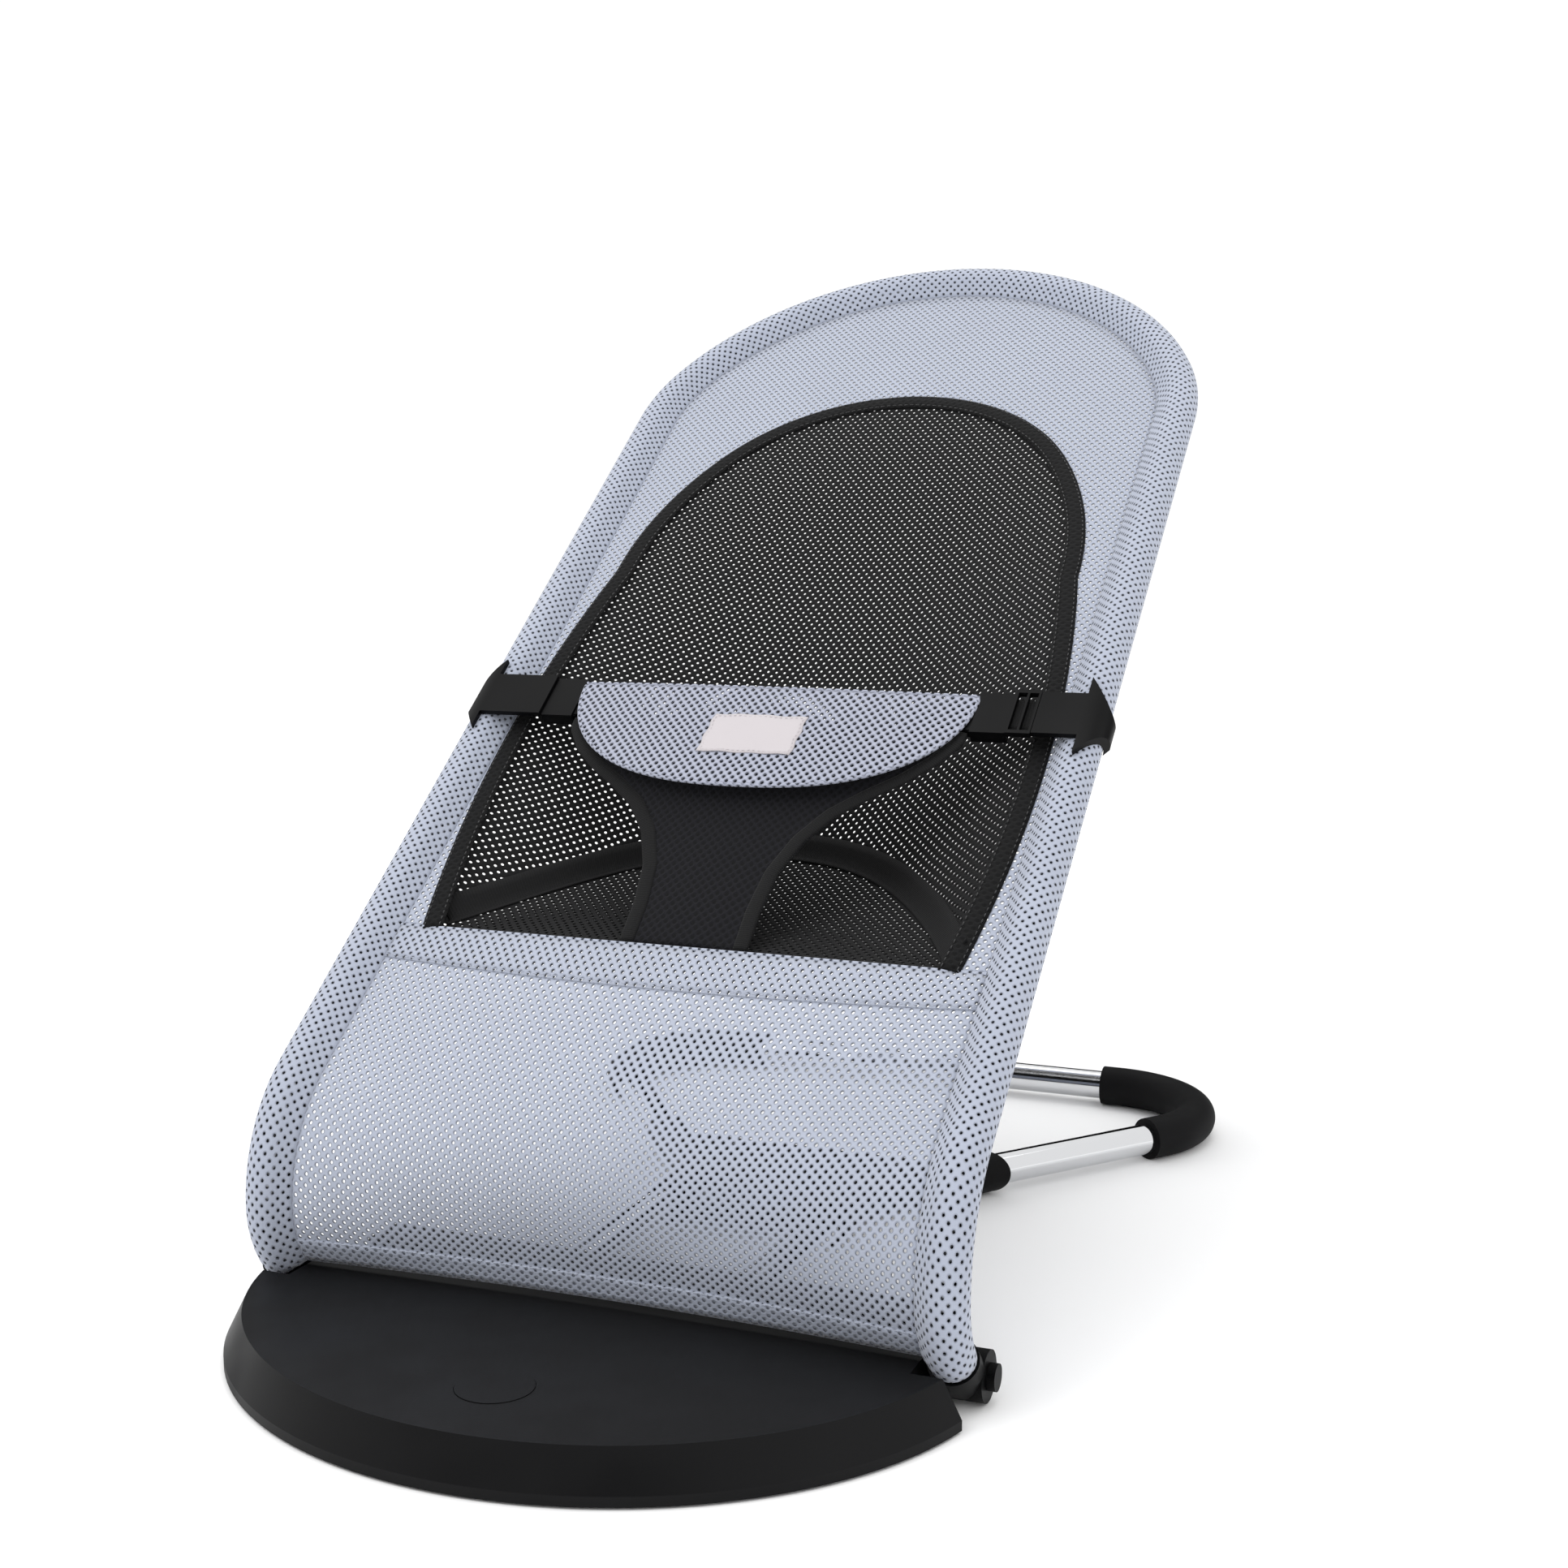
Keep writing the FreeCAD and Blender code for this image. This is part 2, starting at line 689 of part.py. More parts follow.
def head_hoop():
    """Hoop tube with a turned-down spigot in each end."""
    low_v = hoop_joint + running
    edges = arch_edges(frame_half_width, low_v, hoop_spring, hoop_side_radius, back_length)
    hoop = hollow_pipe(edges, tube_r, bore_r)
    start = back(frame_half_width, hoop_joint - spigot_length)
    spigot = Part.makeCylinder(bore_r - running, spigot_length + spigot_held, start, along)
    root_place = back(frame_half_width, low_v)
    root = Part.makeCylinder(bore_r + tube_wall / 2, spigot_held, root_place, along)
    bore = Part.makeCylinder(bore_r - tube_wall, spigot_length + 2 * spigot_held, start, along)
    insert = spigot.fuse(root).cut(bore)
    return hoop.fuse(insert).fuse(mirror_x(insert)).removeSplitter()


def tube_shoe():
    """Moulded end that holds the side tube and turns on the axle."""
    x = plate_corner_x + body_gap + 1.0
    width = frame_half_width + tube_r + shoe_overhang - x
    drum = Part.makeCylinder(shoe_r, width, V(x, hinge_y, axle_z), RIGHT)
    collar = pipe([lower_bend(shoe_end_turn, shoe_top_turn)], shoe_r)
    bore = pipe([lower_bend(tube_end_turn, shoe_top_turn - 2)], tube_r + grip)
    shoe = drum.fuse(collar).cut(bore)
    hole_x = x - shoe_overhang
    hole_length = width + 2 * shoe_overhang
    hole = Part.makeCylinder(axle_r + running, hole_length, V(hole_x, hinge_y, axle_z), RIGHT)
    return shoe.cut(hole).removeSplitter()


def tunnel_side():
    """Fabric tunnel round a side tube."""
    edges = side_edges(panel_low_turn - 2, hoop_joint)
    return hollow_pipe(edges, tunnel_r, tube_r + gap)


def tunnel_head():
    edges = arch_edges(
        frame_half_width, hoop_joint + gap, hoop_spring, hoop_side_radius, back_length
    )
    return hollow_pipe(edges, tunnel_r, tube_r + gap)


# --- waist belt and crotch panel ----------------------------------------------------------
def crescent():
    low = [back(-crescent_half_width, crescent_end_v), back(0, crescent_low_v)]
    low.append(back(crescent_half_width, crescent_end_v))
    top = [back(crescent_half_width, crescent_top_v), back(0, crescent_top_v - crescent_dip)]
    top.append(back(-crescent_half_width, crescent_top_v))
    edges = [arc(*low), line(low[2], top[0]), arc(*top), line(top[2], low[0])]
    face = Part.Face(Part.Wire(edges))
    face.translate(above * crescent_depth)
    return face.extrude(above * fabric)


def label():
    low_d = crescent_depth + fabric + 0.1
    half = label_width / 2
    return back_box(
        (-half, label_v - label_height / 2, low_d), (half, label_v + label_height / 2, low_d + 0.5)
    )


def crotch_panel():
    """Flat panel from behind the crescent down to the seat mesh."""
    seat_d = -crease_depth * (crotch_low_v - pocket_v) / (crease_v - pocket_v)
    low = back(crotch_low_half_width, crotch_low_v, seat_d + fabric + gap)
    top = back(crotch_top_half_width, crotch_top_v, crescent_depth - fabric - gap)
    waist = low + (top - low) * crotch_waist_share
    waist.x = crotch_waist_half_width
    right = [low, waist, top]
    left = [V(-point.x, point.y, point.z) for point in right]
    edges = [arc(*right), line(top, left[2]), arc(*reversed(left)), line(left[0], low)]
    return Part.Face(Part.Wire(edges)).extrude(above * (fabric - gap))


def belt_anchor(wing_x):
    """Moulded saddle round the frame tube, with a wing that carries the webbing."""
    inner_r = tunnel_r + gap
    outer_r = inner_r + anchor_wall
    start = back(frame_half_width, belt_v - anchor_length / 2)
    ring = Part.makeCylinder(outer_r, anchor_length, start, along)
    half_wing = belt_width / 2 + 2
    wing = back_box(
        (wing_x, belt_v - half_wing, inner_r), (frame_half_width, belt_v + half_wing, outer_r)
    )
    inner_half = back_box((0, 0, -FAR), (frame_half_width, back_length, FAR))
    saddle = ring.cut(inner_half).cut(back_box((0, 0, -FAR), (FAR, back_length, -anchor_wrap)))
    point = frame_half_width + outer_r
    half = anchor_length / 2
    for way in (-1, 1):
        tip = [
            back(frame_half_width, belt_v + way * half, 0),
            back(point + 1, belt_v + way * anchor_point, 0),
            back(point + 1, belt_v + way * (half + 1), 0),
        ]
        wedge = Part.Face(Part.makePolygon(tip + tip[:1]))
        wedge.translate(above * -point)
        saddle = saddle.cut(wedge.extrude(above * 2 * point))
    hole = Part.makeCylinder(inner_r, 3 * anchor_length, start - along * anchor_length, along)
    return saddle.fuse(wing).cut(hole).removeSplitter()


def webbing():
    """Strap from under the anchor's wing to the socket."""
    top = tunnel_r + gap - 0.2
    half = belt_width / 2
    return back_box(
        (socket_outer_x + 0.2, belt_v - half, top - belt_thick), (webbing_end_x, belt_v + half, top)
    )


def ladder_lock():
    """Three bars and two slots over the right webbing."""
    low_d = tunnel_r + gap
    half = belt_width / 2 + lock_overhang
    frame = back_box(
        (lock_inner_x, belt_v - half, low_d),
        (lock_inner_x + lock_width, belt_v + half, low_d + lock_thick),
    )
    slot = (lock_width - 3 * lock_bar) / 2
    for bars in (1, 2):
        x = lock_inner_x + bars * lock_bar + (bars - 1) * slot
        opening = back_box(
            (x, belt_v - half + lock_rim, -FAR), (x + slot, belt_v + half - lock_rim, FAR)
        )
        frame = frame.cut(opening)
    return frame


def buckle_socket():
    outer = back_box(
        (socket_inner_x, belt_v - socket_half_width, belt_depth - socket_half_thick),
        (socket_outer_x, belt_v + socket_half_width, belt_depth + socket_half_thick),
    )
    cavity = back_box(
        (
            socket_inner_x - 1,
            belt_v - socket_half_width + socket_wall,
            belt_depth - socket_half_thick + socket_wall,
        ),
        (
            socket_inner_x + prong_length + 2,
            belt_v + socket_half_width - socket_wall,
            belt_depth + socket_half_thick - socket_wall,
        ),
    )
    return outer.cut(cavity)


def buckle_tongue():
    """Shoulder plate with a middle guide and two side prongs, and its short waist strap."""
    half_thick = prong_half_thick
    reach = socket_half_width - socket_wall - gap
    root = socket_inner_x - gap
    lip_depth = half_thick + tongue_lip
    body = back_box(
        (root - shoulder_length, belt_v - shoulder_half_width, belt_depth - lip_depth),
        (root, belt_v + shoulder_half_width, belt_depth + lip_depth),
    )
    tongue = body
    for low in (-reach, -prong_width / 2, reach - prong_width):
        high = low + prong_width
        prong = back_box(
            (root - 1, belt_v + low, belt_depth - half_thick),
            (root + prong_length, belt_v + high, belt_depth + half_thick),
        )
        tongue = tongue.fuse(prong)
    strap = back_box(
        (
            root - shoulder_length - strap_length,
            belt_v - strap_half_width,
            belt_depth - belt_thick / 2,
        ),
        (root - shoulder_length + 1, belt_v + strap_half_width, belt_depth + belt_thick / 2),
    )
    return tongue.fuse(strap).removeSplitter()


# --- build --------------------------------------------------------------------------------
route = loop_route()

save("footplate_cover", footplate_cover())
save("hinge_cover", hinge_cover())
save("footplate_tray", tray())
badge_place = V(0, badge_y, plate_height - badge_recess)
save("badge_disc", Part.makeCylinder(badge_radius, badge_thick, badge_place, UP))
tray_screws = [screw(x, y, pad_thick, tray_screw_length) for x, y in tray_screw_places]
save("tray_screws", group(tray_screws))
for end, (pad_x, pad_y) in pad_places.items():
    pad = Part.makeCylinder(pad_radius, pad_thick, V(pad_x, pad_y, 0), UP)
    both_sides("foot_pad_" + end, pad)

axle_half = cap_x + cap_grip
save("hinge_axle", Part.makeCylinder(axle_r, 2 * axle_half, V(-axle_half, hinge_y, axle_z), RIGHT))
cap = Part.makeCylinder(cap_radius, cap_length, V(cap_x, hinge_y, axle_z), RIGHT)
bore = Part.makeCylinder(axle_r + running, cap_grip + running, V(cap_x, hinge_y, axle_z), RIGHT)
cap = cap.cut(bore)
both_sides("axle_cap", cap)
both_sides("axle_bracket", axle_bracket())
both_sides("detent_disc", detent_disc())

save("floor_loop", floor_loop(route))
both_sides("corner_sleeve", corner_sleeve(route))
both_sides("loop_plug", loop_plug())
both_sides("tube_saddle", tube_saddle())
upper, lower, screws = brace_parts(route)
save("brace_upper", upper)
save("brace_lower", lower)
save("brace_screws", screws)

both_sides("side_tube", side_tube())
save("head_hoop", head_hoop())
both_sides("tube_shoe", tube_shoe())
both_sides("tunnel", tunnel_side())
save("tunnel_head", tunnel_head())
save("surround", surround_solid())
save("arch_binding", arch_binding_solid())
save("back_mesh", back_mesh_solid())
save("seat_mesh", seat_mesh_solid())
save("lower_panel", lower_panel_solid())

save("waist_crescent", crescent())
save("sewn_label", label())
save("crotch_panel", crotch_panel())
save("belt_anchor_right", belt_anchor(lock_inner_x + lock_width + gap))
save("belt_anchor_left", mirror_x(belt_anchor(lock_inner_x)))
both_sides("webbing", webbing())
save("ladder_lock", ladder_lock())
both_sides("buckle_socket", buckle_socket())
both_sides("buckle_tongue", buckle_tongue())
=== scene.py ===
"""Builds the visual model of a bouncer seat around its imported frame.

Sizes are in millimetres until a point is placed; places are in metres, with Z up.
"Right" pieces are on the +X side. Back plane places are x, v along the back from the upper
bend, and d above the plane through the side tubes' centre lines.
"""

import math

import bmesh
import bpy
from mathutils import Matrix, Vector


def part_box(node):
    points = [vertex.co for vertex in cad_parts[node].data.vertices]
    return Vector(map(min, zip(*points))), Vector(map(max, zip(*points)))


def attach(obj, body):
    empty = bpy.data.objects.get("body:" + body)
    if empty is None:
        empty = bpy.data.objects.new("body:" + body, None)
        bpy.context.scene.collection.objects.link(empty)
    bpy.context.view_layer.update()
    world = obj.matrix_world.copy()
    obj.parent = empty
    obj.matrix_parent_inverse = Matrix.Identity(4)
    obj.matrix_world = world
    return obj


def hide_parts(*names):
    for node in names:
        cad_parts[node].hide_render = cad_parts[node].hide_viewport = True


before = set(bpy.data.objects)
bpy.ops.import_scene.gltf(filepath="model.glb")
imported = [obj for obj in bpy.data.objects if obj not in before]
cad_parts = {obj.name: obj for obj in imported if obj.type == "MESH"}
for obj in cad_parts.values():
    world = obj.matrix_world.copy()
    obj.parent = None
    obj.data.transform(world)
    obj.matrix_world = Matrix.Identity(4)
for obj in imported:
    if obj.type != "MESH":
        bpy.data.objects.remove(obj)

bl_info = {
    "name": "Bouncer seat",
    "version": (1, 0, 0),
    "blender": (4, 5, 0),
    "location": "3D View > Sidebar > Bouncer",
    "description": "Dresses the frame of a bouncer seat in mesh fabric, tape and finishes",
    "category": "Object",
}

MM = 0.001
UV_NAME = "cloth"
WAVE_BAND = 0.314  # width of one band of a wave texture whose scale is 1

# The side tubes' line, as the frame has it
BACK_ANGLE = math.radians(38.35)
UPPER_RADIUS = 80.0
LOWER_RADIUS = 49.0
HINGE_LEAD = math.radians(23.0)
TUBE_RADIUS = 9.5
HOOP_SPRING = 558.0
HOOP_SIDE_RADIUS = 120.0
BACK_LENGTH = 719.0
SLEEVE_END = math.radians(221.0)  # round the lower bend

# Seat fabric outlines in the back plane
POCKET_V = 100.0
CREASE_V = 222.0
CREASE_DEPTH = 60.0
ARCH_FOOT = 147.0
ARCH_BELLY = 159.0
ARCH_BELLY_V = 245.0
ARCH_HALF_WIDTH = 144.0
ARCH_SPRING = 400.0
ARCH_SIDE_RADIUS = 220.0
ARCH_TOP = 578.0
SAG_SHAPE = 2.4
SEAT_SAG = 5.0
POCKET_DEPTH = 2.4  # the seat mesh is sewn this far behind the pocket edge
SLEEVE_EASE = 1.0  # between the tube and the sleeve

# Waist belt
BELT_V = 272.0
BELT_WIDTH = 28.0
CRESCENT_TOP = 284.0
CRESCENT_DROP = 81.0
CRESCENT_HALF = 120.7
CRESCENT_D = 12.0
LABEL_V = 242.0
STRAP_INNER_X = 141.2  # the strap's end at the buckle
STRAP_RUN = 23.8
STRAP_LIFT = 1.2  # the strap's middle above the tube


def middle_of(node):
    """Middle of a frame node's box, in metres."""
    low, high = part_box(node)
    return (Vector(low) + Vector(high)) / 2


hinge = middle_of("hinge_axle") / MM
TUBE_X = middle_of("side_tube_right").x / MM
lower_centre = Vector(
    (0, hinge.y + LOWER_RADIUS * math.sin(HINGE_LEAD), hinge.z + LOWER_RADIUS * math.cos(HINGE_LEAD))
)
upper_centre = lower_centre + Vector((0, UPPER_RADIUS - LOWER_RADIUS, 0))
along = Vector((0, math.cos(BACK_ANGLE), math.sin(BACK_ANGLE)))
above = Vector((0, -math.sin(BACK_ANGLE), math.cos(BACK_ANGLE)))
back_start = upper_centre + above * UPPER_RADIUS


def back(x, v, d=0.0):
    """A back plane place, in metres."""
    return (Vector((x, 0, 0)) + back_start + along * v + above * d) * MM


# --- lines ---------------------------------------------------------------------------------
def arch(half_width, spring_v, side_radius, top_v):
    """Centres, radii and turn of a three-arc arch."""
    rise = top_v - spring_v
    reach = half_width - side_radius
    crown_radius = (reach**2 + rise**2 - side_radius**2) / (2 * (rise - side_radius))
    crown_v = top_v - crown_radius
    step = crown_radius - side_radius
    turn = math.atan2((spring_v - crown_v) / step, reach / step)
    return reach, crown_radius, crown_v, turn


def arch_points(half_width, spring_v, side_radius, top_v, count=40):
    """(x, v) from the right spring to the top."""
    reach, crown_radius, crown_v, turn = arch(half_width, spring_v, side_radius, top_v)
    points = []
    for i in range(count):
        angle = turn * i / count
        points.append((reach + side_radius * math.cos(angle), spring_v + side_radius * math.sin(angle)))
    for i in range(count + 1):
        angle = turn + (math.pi / 2 - turn) * i / count
        points.append((crown_radius * math.cos(angle), crown_v + crown_radius * math.sin(angle)))
    return points


def arch_foot_x(v):
    """The black mesh's half width below its arch: a parabola through foot, belly and spring."""
    total = 0.0
    known = ((POCKET_V, ARCH_FOOT), (ARCH_BELLY_V, ARCH_BELLY), (ARCH_SPRING, ARCH_HALF_WIDTH))
    for at, x in known:
        share = x
        for other, _ in known:
            if other != at:
                share *= (v - other) / (at - other)
        total += share
    return total


class Route:
    """A line through points, read by its share of the whole length."""

    def __init__(self, points):
        self.points = [Vector(p) for p in points]
        self.reached = [0.0]
        for a, b in zip(self.points, self.points[1:]):
            self.reached.append(self.reached[-1] + (b - a).length)
        self.length = self.reached[-1]

    def at(self, share):
        goal = min(max(share, 0.0), 1.0) * self.length
        low, high = 0, len(self.points) - 1
        while high - low > 1:
            middle = (low + high) // 2
            if self.reached[middle] <= goal:
                low = middle
            else:
                high = middle
        span = self.reached[high] - self.reached[low]
        part = (goal - self.reached[low]) / span if span else 0.0
        return self.points[low].lerp(self.points[high], part)

    def heading(self, share, step=0.002):
        return (self.at(share + step) - self.at(share - step)).normalized()


def both_halves(right):
    """An outline from the right foot over the top to the left foot."""
    return right + [(-x, v) for x, v in reversed(right[:-1])]


insert_right = [(arch_foot_x(v), v) for v in range(int(POCKET_V), int(ARCH_SPRING), 5)]
insert_right += arch_points(ARCH_HALF_WIDTH, ARCH_SPRING, ARCH_SIDE_RADIUS, ARCH_TOP)
insert_line = Route([(x, v, 0) for x, v in both_halves(insert_right)])


def insert_half_width(v):
    """Half width of the black mesh at v."""
    for (x0, v0), (x1, v1) in zip(insert_right, insert_right[1:]):
        if v0 <= v <= v1:
            return x0 + (x1 - x0) * (v - v0) / max(v1 - v0, 1e-6)
    return insert_right[0][0] if v < POCKET_V else 0.0


def crease_v(x):
    """Where the crease between back and seat crosses x: low at the sides, high in the middle."""
    share = min(1.0, abs(x) / ARCH_FOOT)
    return POCKET_V + 2 + (CREASE_V - POCKET_V - 2) * (1 - share**SAG_SHAPE)


def sling_depth(x, v):
    """How deep the black mesh hangs: deepest at the crease, nothing at its edge."""
    half = insert_half_width(v)
    if half <= 0:
        return 0.0
    rise = max(0.0, (ARCH_TOP - v) / (ARCH_TOP - crease_v(x)))
    return CREASE_DEPTH * min(1.0, rise) ** 1.3 * (1 - min(1.0, abs(x) / half) ** SAG_SHAPE)


# Side tube stations: (centre, outward, upward) in millimetres by length from the sleeve's end
lower_run = LOWER_RADIUS * (SLEEVE_END - math.pi)
upper_run = UPPER_RADIUS * (math.pi / 2 - BACK_ANGLE)
hoop_reach, hoop_crown, hoop_crown_v, hoop_turn = arch(
    TUBE_X, HOOP_SPRING, HOOP_SIDE_RADIUS, BACK_LENGTH
)
side_run = HOOP_SIDE_RADIUS * hoop_turn
crown_run = hoop_crown * (math.pi / 2 - hoop_turn)
BENDS = lower_run + upper_run
HALF_RUN = BENDS + HOOP_SPRING + side_run + crown_run
OUT = Vector((1, 0, 0))


def station(length):
    """Place and axes of the sleeve's cross-section, for the right half or, past it, the left."""
    if length > HALF_RUN:
        centre, out, up = station(2 * HALF_RUN - length)
        return Vector((-centre.x, centre.y, centre.z)), Vector((-out.x, out.y, out.z)), up
    if length < BENDS:
        if length < lower_run:
            angle, middle, radius = SLEEVE_END - length / LOWER_RADIUS, lower_centre, LOWER_RADIUS
        else:
            angle, middle, radius = (
                math.pi - (length - lower_run) / UPPER_RADIUS,
                upper_centre,
                UPPER_RADIUS,
            )
        up = Vector((0, math.cos(angle), math.sin(angle)))
        return Vector((TUBE_X, middle.y, middle.z)) + up * radius, OUT.copy(), up
    v = length - BENDS
    if v < HOOP_SPRING:
        return Vector((TUBE_X, 0, 0)) + back_start + along * v, OUT.copy(), above.copy()
    rest = v - HOOP_SPRING
    if rest < side_run:
        angle, radius, middle = rest / HOOP_SIDE_RADIUS, HOOP_SIDE_RADIUS, (hoop_reach, HOOP_SPRING)
    else:
        angle = hoop_turn + (rest - side_run) / hoop_crown
        radius, middle = hoop_crown, (0.0, hoop_crown_v)
    out = OUT * math.cos(angle) + along * math.sin(angle)
    centre = Vector((middle[0], 0, 0)) + back_start + along * middle[1] + out * radius
    return centre, out, above.copy()


# --- meshes --------------------------------------------------------------------------------
def finish_mesh(name, bm, material, smooth=True):
    bm.normal_update()
    mesh = bpy.data.meshes.new(name)
    bm.to_mesh(mesh)
    bm.free()
    mesh.polygons.foreach_set("use_smooth", [smooth] * len(mesh.polygons))
    mesh.materials.append(material)
    made = bpy.data.objects.new(name, mesh)
    bpy.context.scene.collection.objects.link(made)
    return made


def cloth(name, columns, rows, place, flat, facing, material):
    """A grid bent to place(s, t); flat(s, t) gives the cut cloth in millimetres, for its UVs.

    facing(point) is the way the right side looks there.
    """
    bm = bmesh.new()
    bmesh.ops.create_grid(bm, x_segments=columns, y_segments=rows, size=0.5)
    layer = bm.loops.layers.uv.new(UV_NAME)
    shares = {vert: (vert.co.x + 0.5, vert.co.y + 0.5) for vert in bm.verts}
    for face in bm.faces:
        for loop in face.loops:
            loop[layer].uv = flat(*shares[loop.vert])
    for vert, (s, t) in shares.items():
        vert.co = place(s, t)
    bmesh.ops.remove_doubles(bm, verts=bm.verts, dist=1e-6)
    bmesh.ops.dissolve_degenerate(bm, edges=bm.edges, dist=1e-7)
    bm.normal_update()
    tried = list(bm.faces)[:: max(1, len(bm.faces) // 200)]
    if sum(face.normal.dot(facing(face.calc_center_median())) for face in tried) < 0:
        bmesh.ops.reverse_faces(bm, faces=bm.faces)
    return finish_mesh(name, bm, material)


def thicken(obj, millimetres, offset=0.0):
    wall = obj.modifiers.new("Thickness", "SOLIDIFY")
    wall.thickness = millimetres * MM
    wall.offset = offset
    wall.use_even_offset = False
    return obj


def on_seat(piece, slot, *nodes):
    """Hides the frame's nodes a piece replaces, gives it the seat to ride on; slot is not used."""
    if nodes:
        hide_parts(*nodes)
    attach(piece, "seat")


def facing_up(_):
    return above


def tape(name, route, width, lift, crown, material, steps):
    """A strip along a route of places, crowned across its width."""

    def place(s, t):
        heading = route.heading(s)
        side = heading.cross(above).normalized()
        normal = side.cross(heading).normalized()
        reach = 2 * t - 1
        return (
            route.at(s)
            + side * (reach * width / 2 * MM)
            + normal * ((lift + crown * (1 - reach * reach)) * MM)
        )

    def flat(s, t):
        return s * route.length / MM, t * width

    return cloth(name, steps, 6, place, flat, facing_up, material)


def stitches(name, routes, pitch, length, thick, lift, material, up=facing_up):
    """Short thread loops standing on a seam."""
    bm = bmesh.new()
    for route in routes:
        count = max(2, int(route.length / MM / pitch))
        for i in range(count):
            share = (i + 0.5) / count
            heading = route.heading(share)
            normal = up(route.at(share))
            side = heading.cross(normal).normalized()
            normal = side.cross(heading).normalized()
            turned = Matrix((heading, side, normal)).transposed().to_4x4()
            size = Matrix.Diagonal((length / 2 * MM, thick / 2 * MM, thick / 2 * MM, 1))
            place = Matrix.Translation(route.at(share) + normal * (lift * MM))
            bmesh.ops.create_uvsphere(
                bm, u_segments=6, v_segments=4, radius=1.0, matrix=place @ turned @ size
            )
    return finish_mesh(name, bm, material)


def roll(name, route, radius, material, up=facing_up):
    """A rolled edge: a round cord of cloth along a route."""

    def place(s, t):
        heading = route.heading(s)
        side = heading.cross(up(route.at(s))).normalized()
        normal = side.cross(heading).normalized()
        angle = 2 * math.pi * t
        return route.at(s) + (side * math.cos(angle) + normal * math.sin(angle)) * radius * MM

    def flat(s, t):
        return s * route.length / MM, t * 2 * math.pi * radius

    def outward(point):
        return point - min((route.at(i / 60) for i in range(61)), key=lambda p: (p - point).length)

    return cloth(name, 160, 8, place, flat, outward, material)


def plane_route(points, d=0.0):
    return Route([back(x, v, d) for x, v in points])


# --- materials -----------------------------------------------------------------------------
def linear(code):
    """sRGB hex code to linear RGB."""
    values = [int(code[i : i + 2], 16) / 255 for i in (1, 3, 5)]
    return [c / 12.92 if c <= 0.04045 else ((c + 0.055) / 1.055) ** 2.4 for c in values]


def node(tree, kind, values=None, **settings):
    """Adds a shader node; values go to its inputs, as links where they are sockets."""
    made = tree.nodes.new("ShaderNode" + kind)
    for key, value in settings.items():
        setattr(made, key, value)
    for key, value in (values or {}).items():
        if isinstance(value, bpy.types.NodeSocket):
            tree.links.new(value, made.inputs[key])
        else:
            made.inputs[key].default_value = value
    return made.outputs


def fresh(name):
    """An empty material and its node tree."""
    material = bpy.data.materials.new(name)
    material.use_nodes = True
    material.node_tree.nodes.clear()
    return material, material.node_tree


def close(material, tree, colour, roughness, bump=None, bump_mm=0.0, strength=1.0, **sockets):
    """Ends a material in one Principled shader."""
    values = {"Base Color": colour, "Roughness": roughness}
    values.update({key.replace("_", " "): value for key, value in sockets.items()})
    if bump is not None:
        relief = {"Height": bump, "Distance": bump_mm * MM, "Strength": strength}
        values["Normal"] = node(tree, "Bump", relief)[0]
    shader = node(tree, "BsdfPrincipled", values)[0]
    node(tree, "OutputMaterial", {"Surface": shader})
    return material


def per_mm(width):
    """Scale of a noise, on Object coordinates, whose cells are this many millimetres wide."""
    return 1 / (width * MM)


def shaded(colour, factor):
    return (*[c * factor for c in colour], 1.0)


def hole_distance(tree, sizes, scale):
    """1 at the rim of the nearest hole of the knit, less inside it: two staggered lattices."""
    place = node(tree, "UVMap", uv_map=UV_NAME)[0]
    wander = node(tree, "TexNoise", {"Vector": place, "Scale": 0.06, "Detail": 2.0})[1]
    drift = node(tree, "VectorMath", {0: wander, 1: (1.1, 1.1, 0.0)}, operation="MULTIPLY")[0]
    place = node(tree, "VectorMath", {0: place, 1: drift}, operation="ADD")[0]
    wide, high = sizes.hole_width * scale, sizes.hole_height * scale
    near = []
    for shift in (0.0, 0.5):
        step = place
        for operation, amount in (
            ("MULTIPLY", (1 / sizes.pitch, 1 / (2 * sizes.row), 0.0)),
            ("ADD", (shift, shift, 0.0)),
            ("FRACTION", (0.0, 0.0, 0.0)),
            ("SUBTRACT", (0.5, 0.5, 0.0)),
            ("MULTIPLY", (2 * sizes.pitch / wide, 4 * sizes.row / high, 0.0)),
        ):
            step = node(tree, "VectorMath", {0: step, 1: amount}, operation=operation)[0]
        near.append(node(tree, "VectorMath", {0: step}, operation="LENGTH")[1])
    return node(tree, "Math", {0: near[0], 1: near[1]}, operation="MINIMUM")[0]


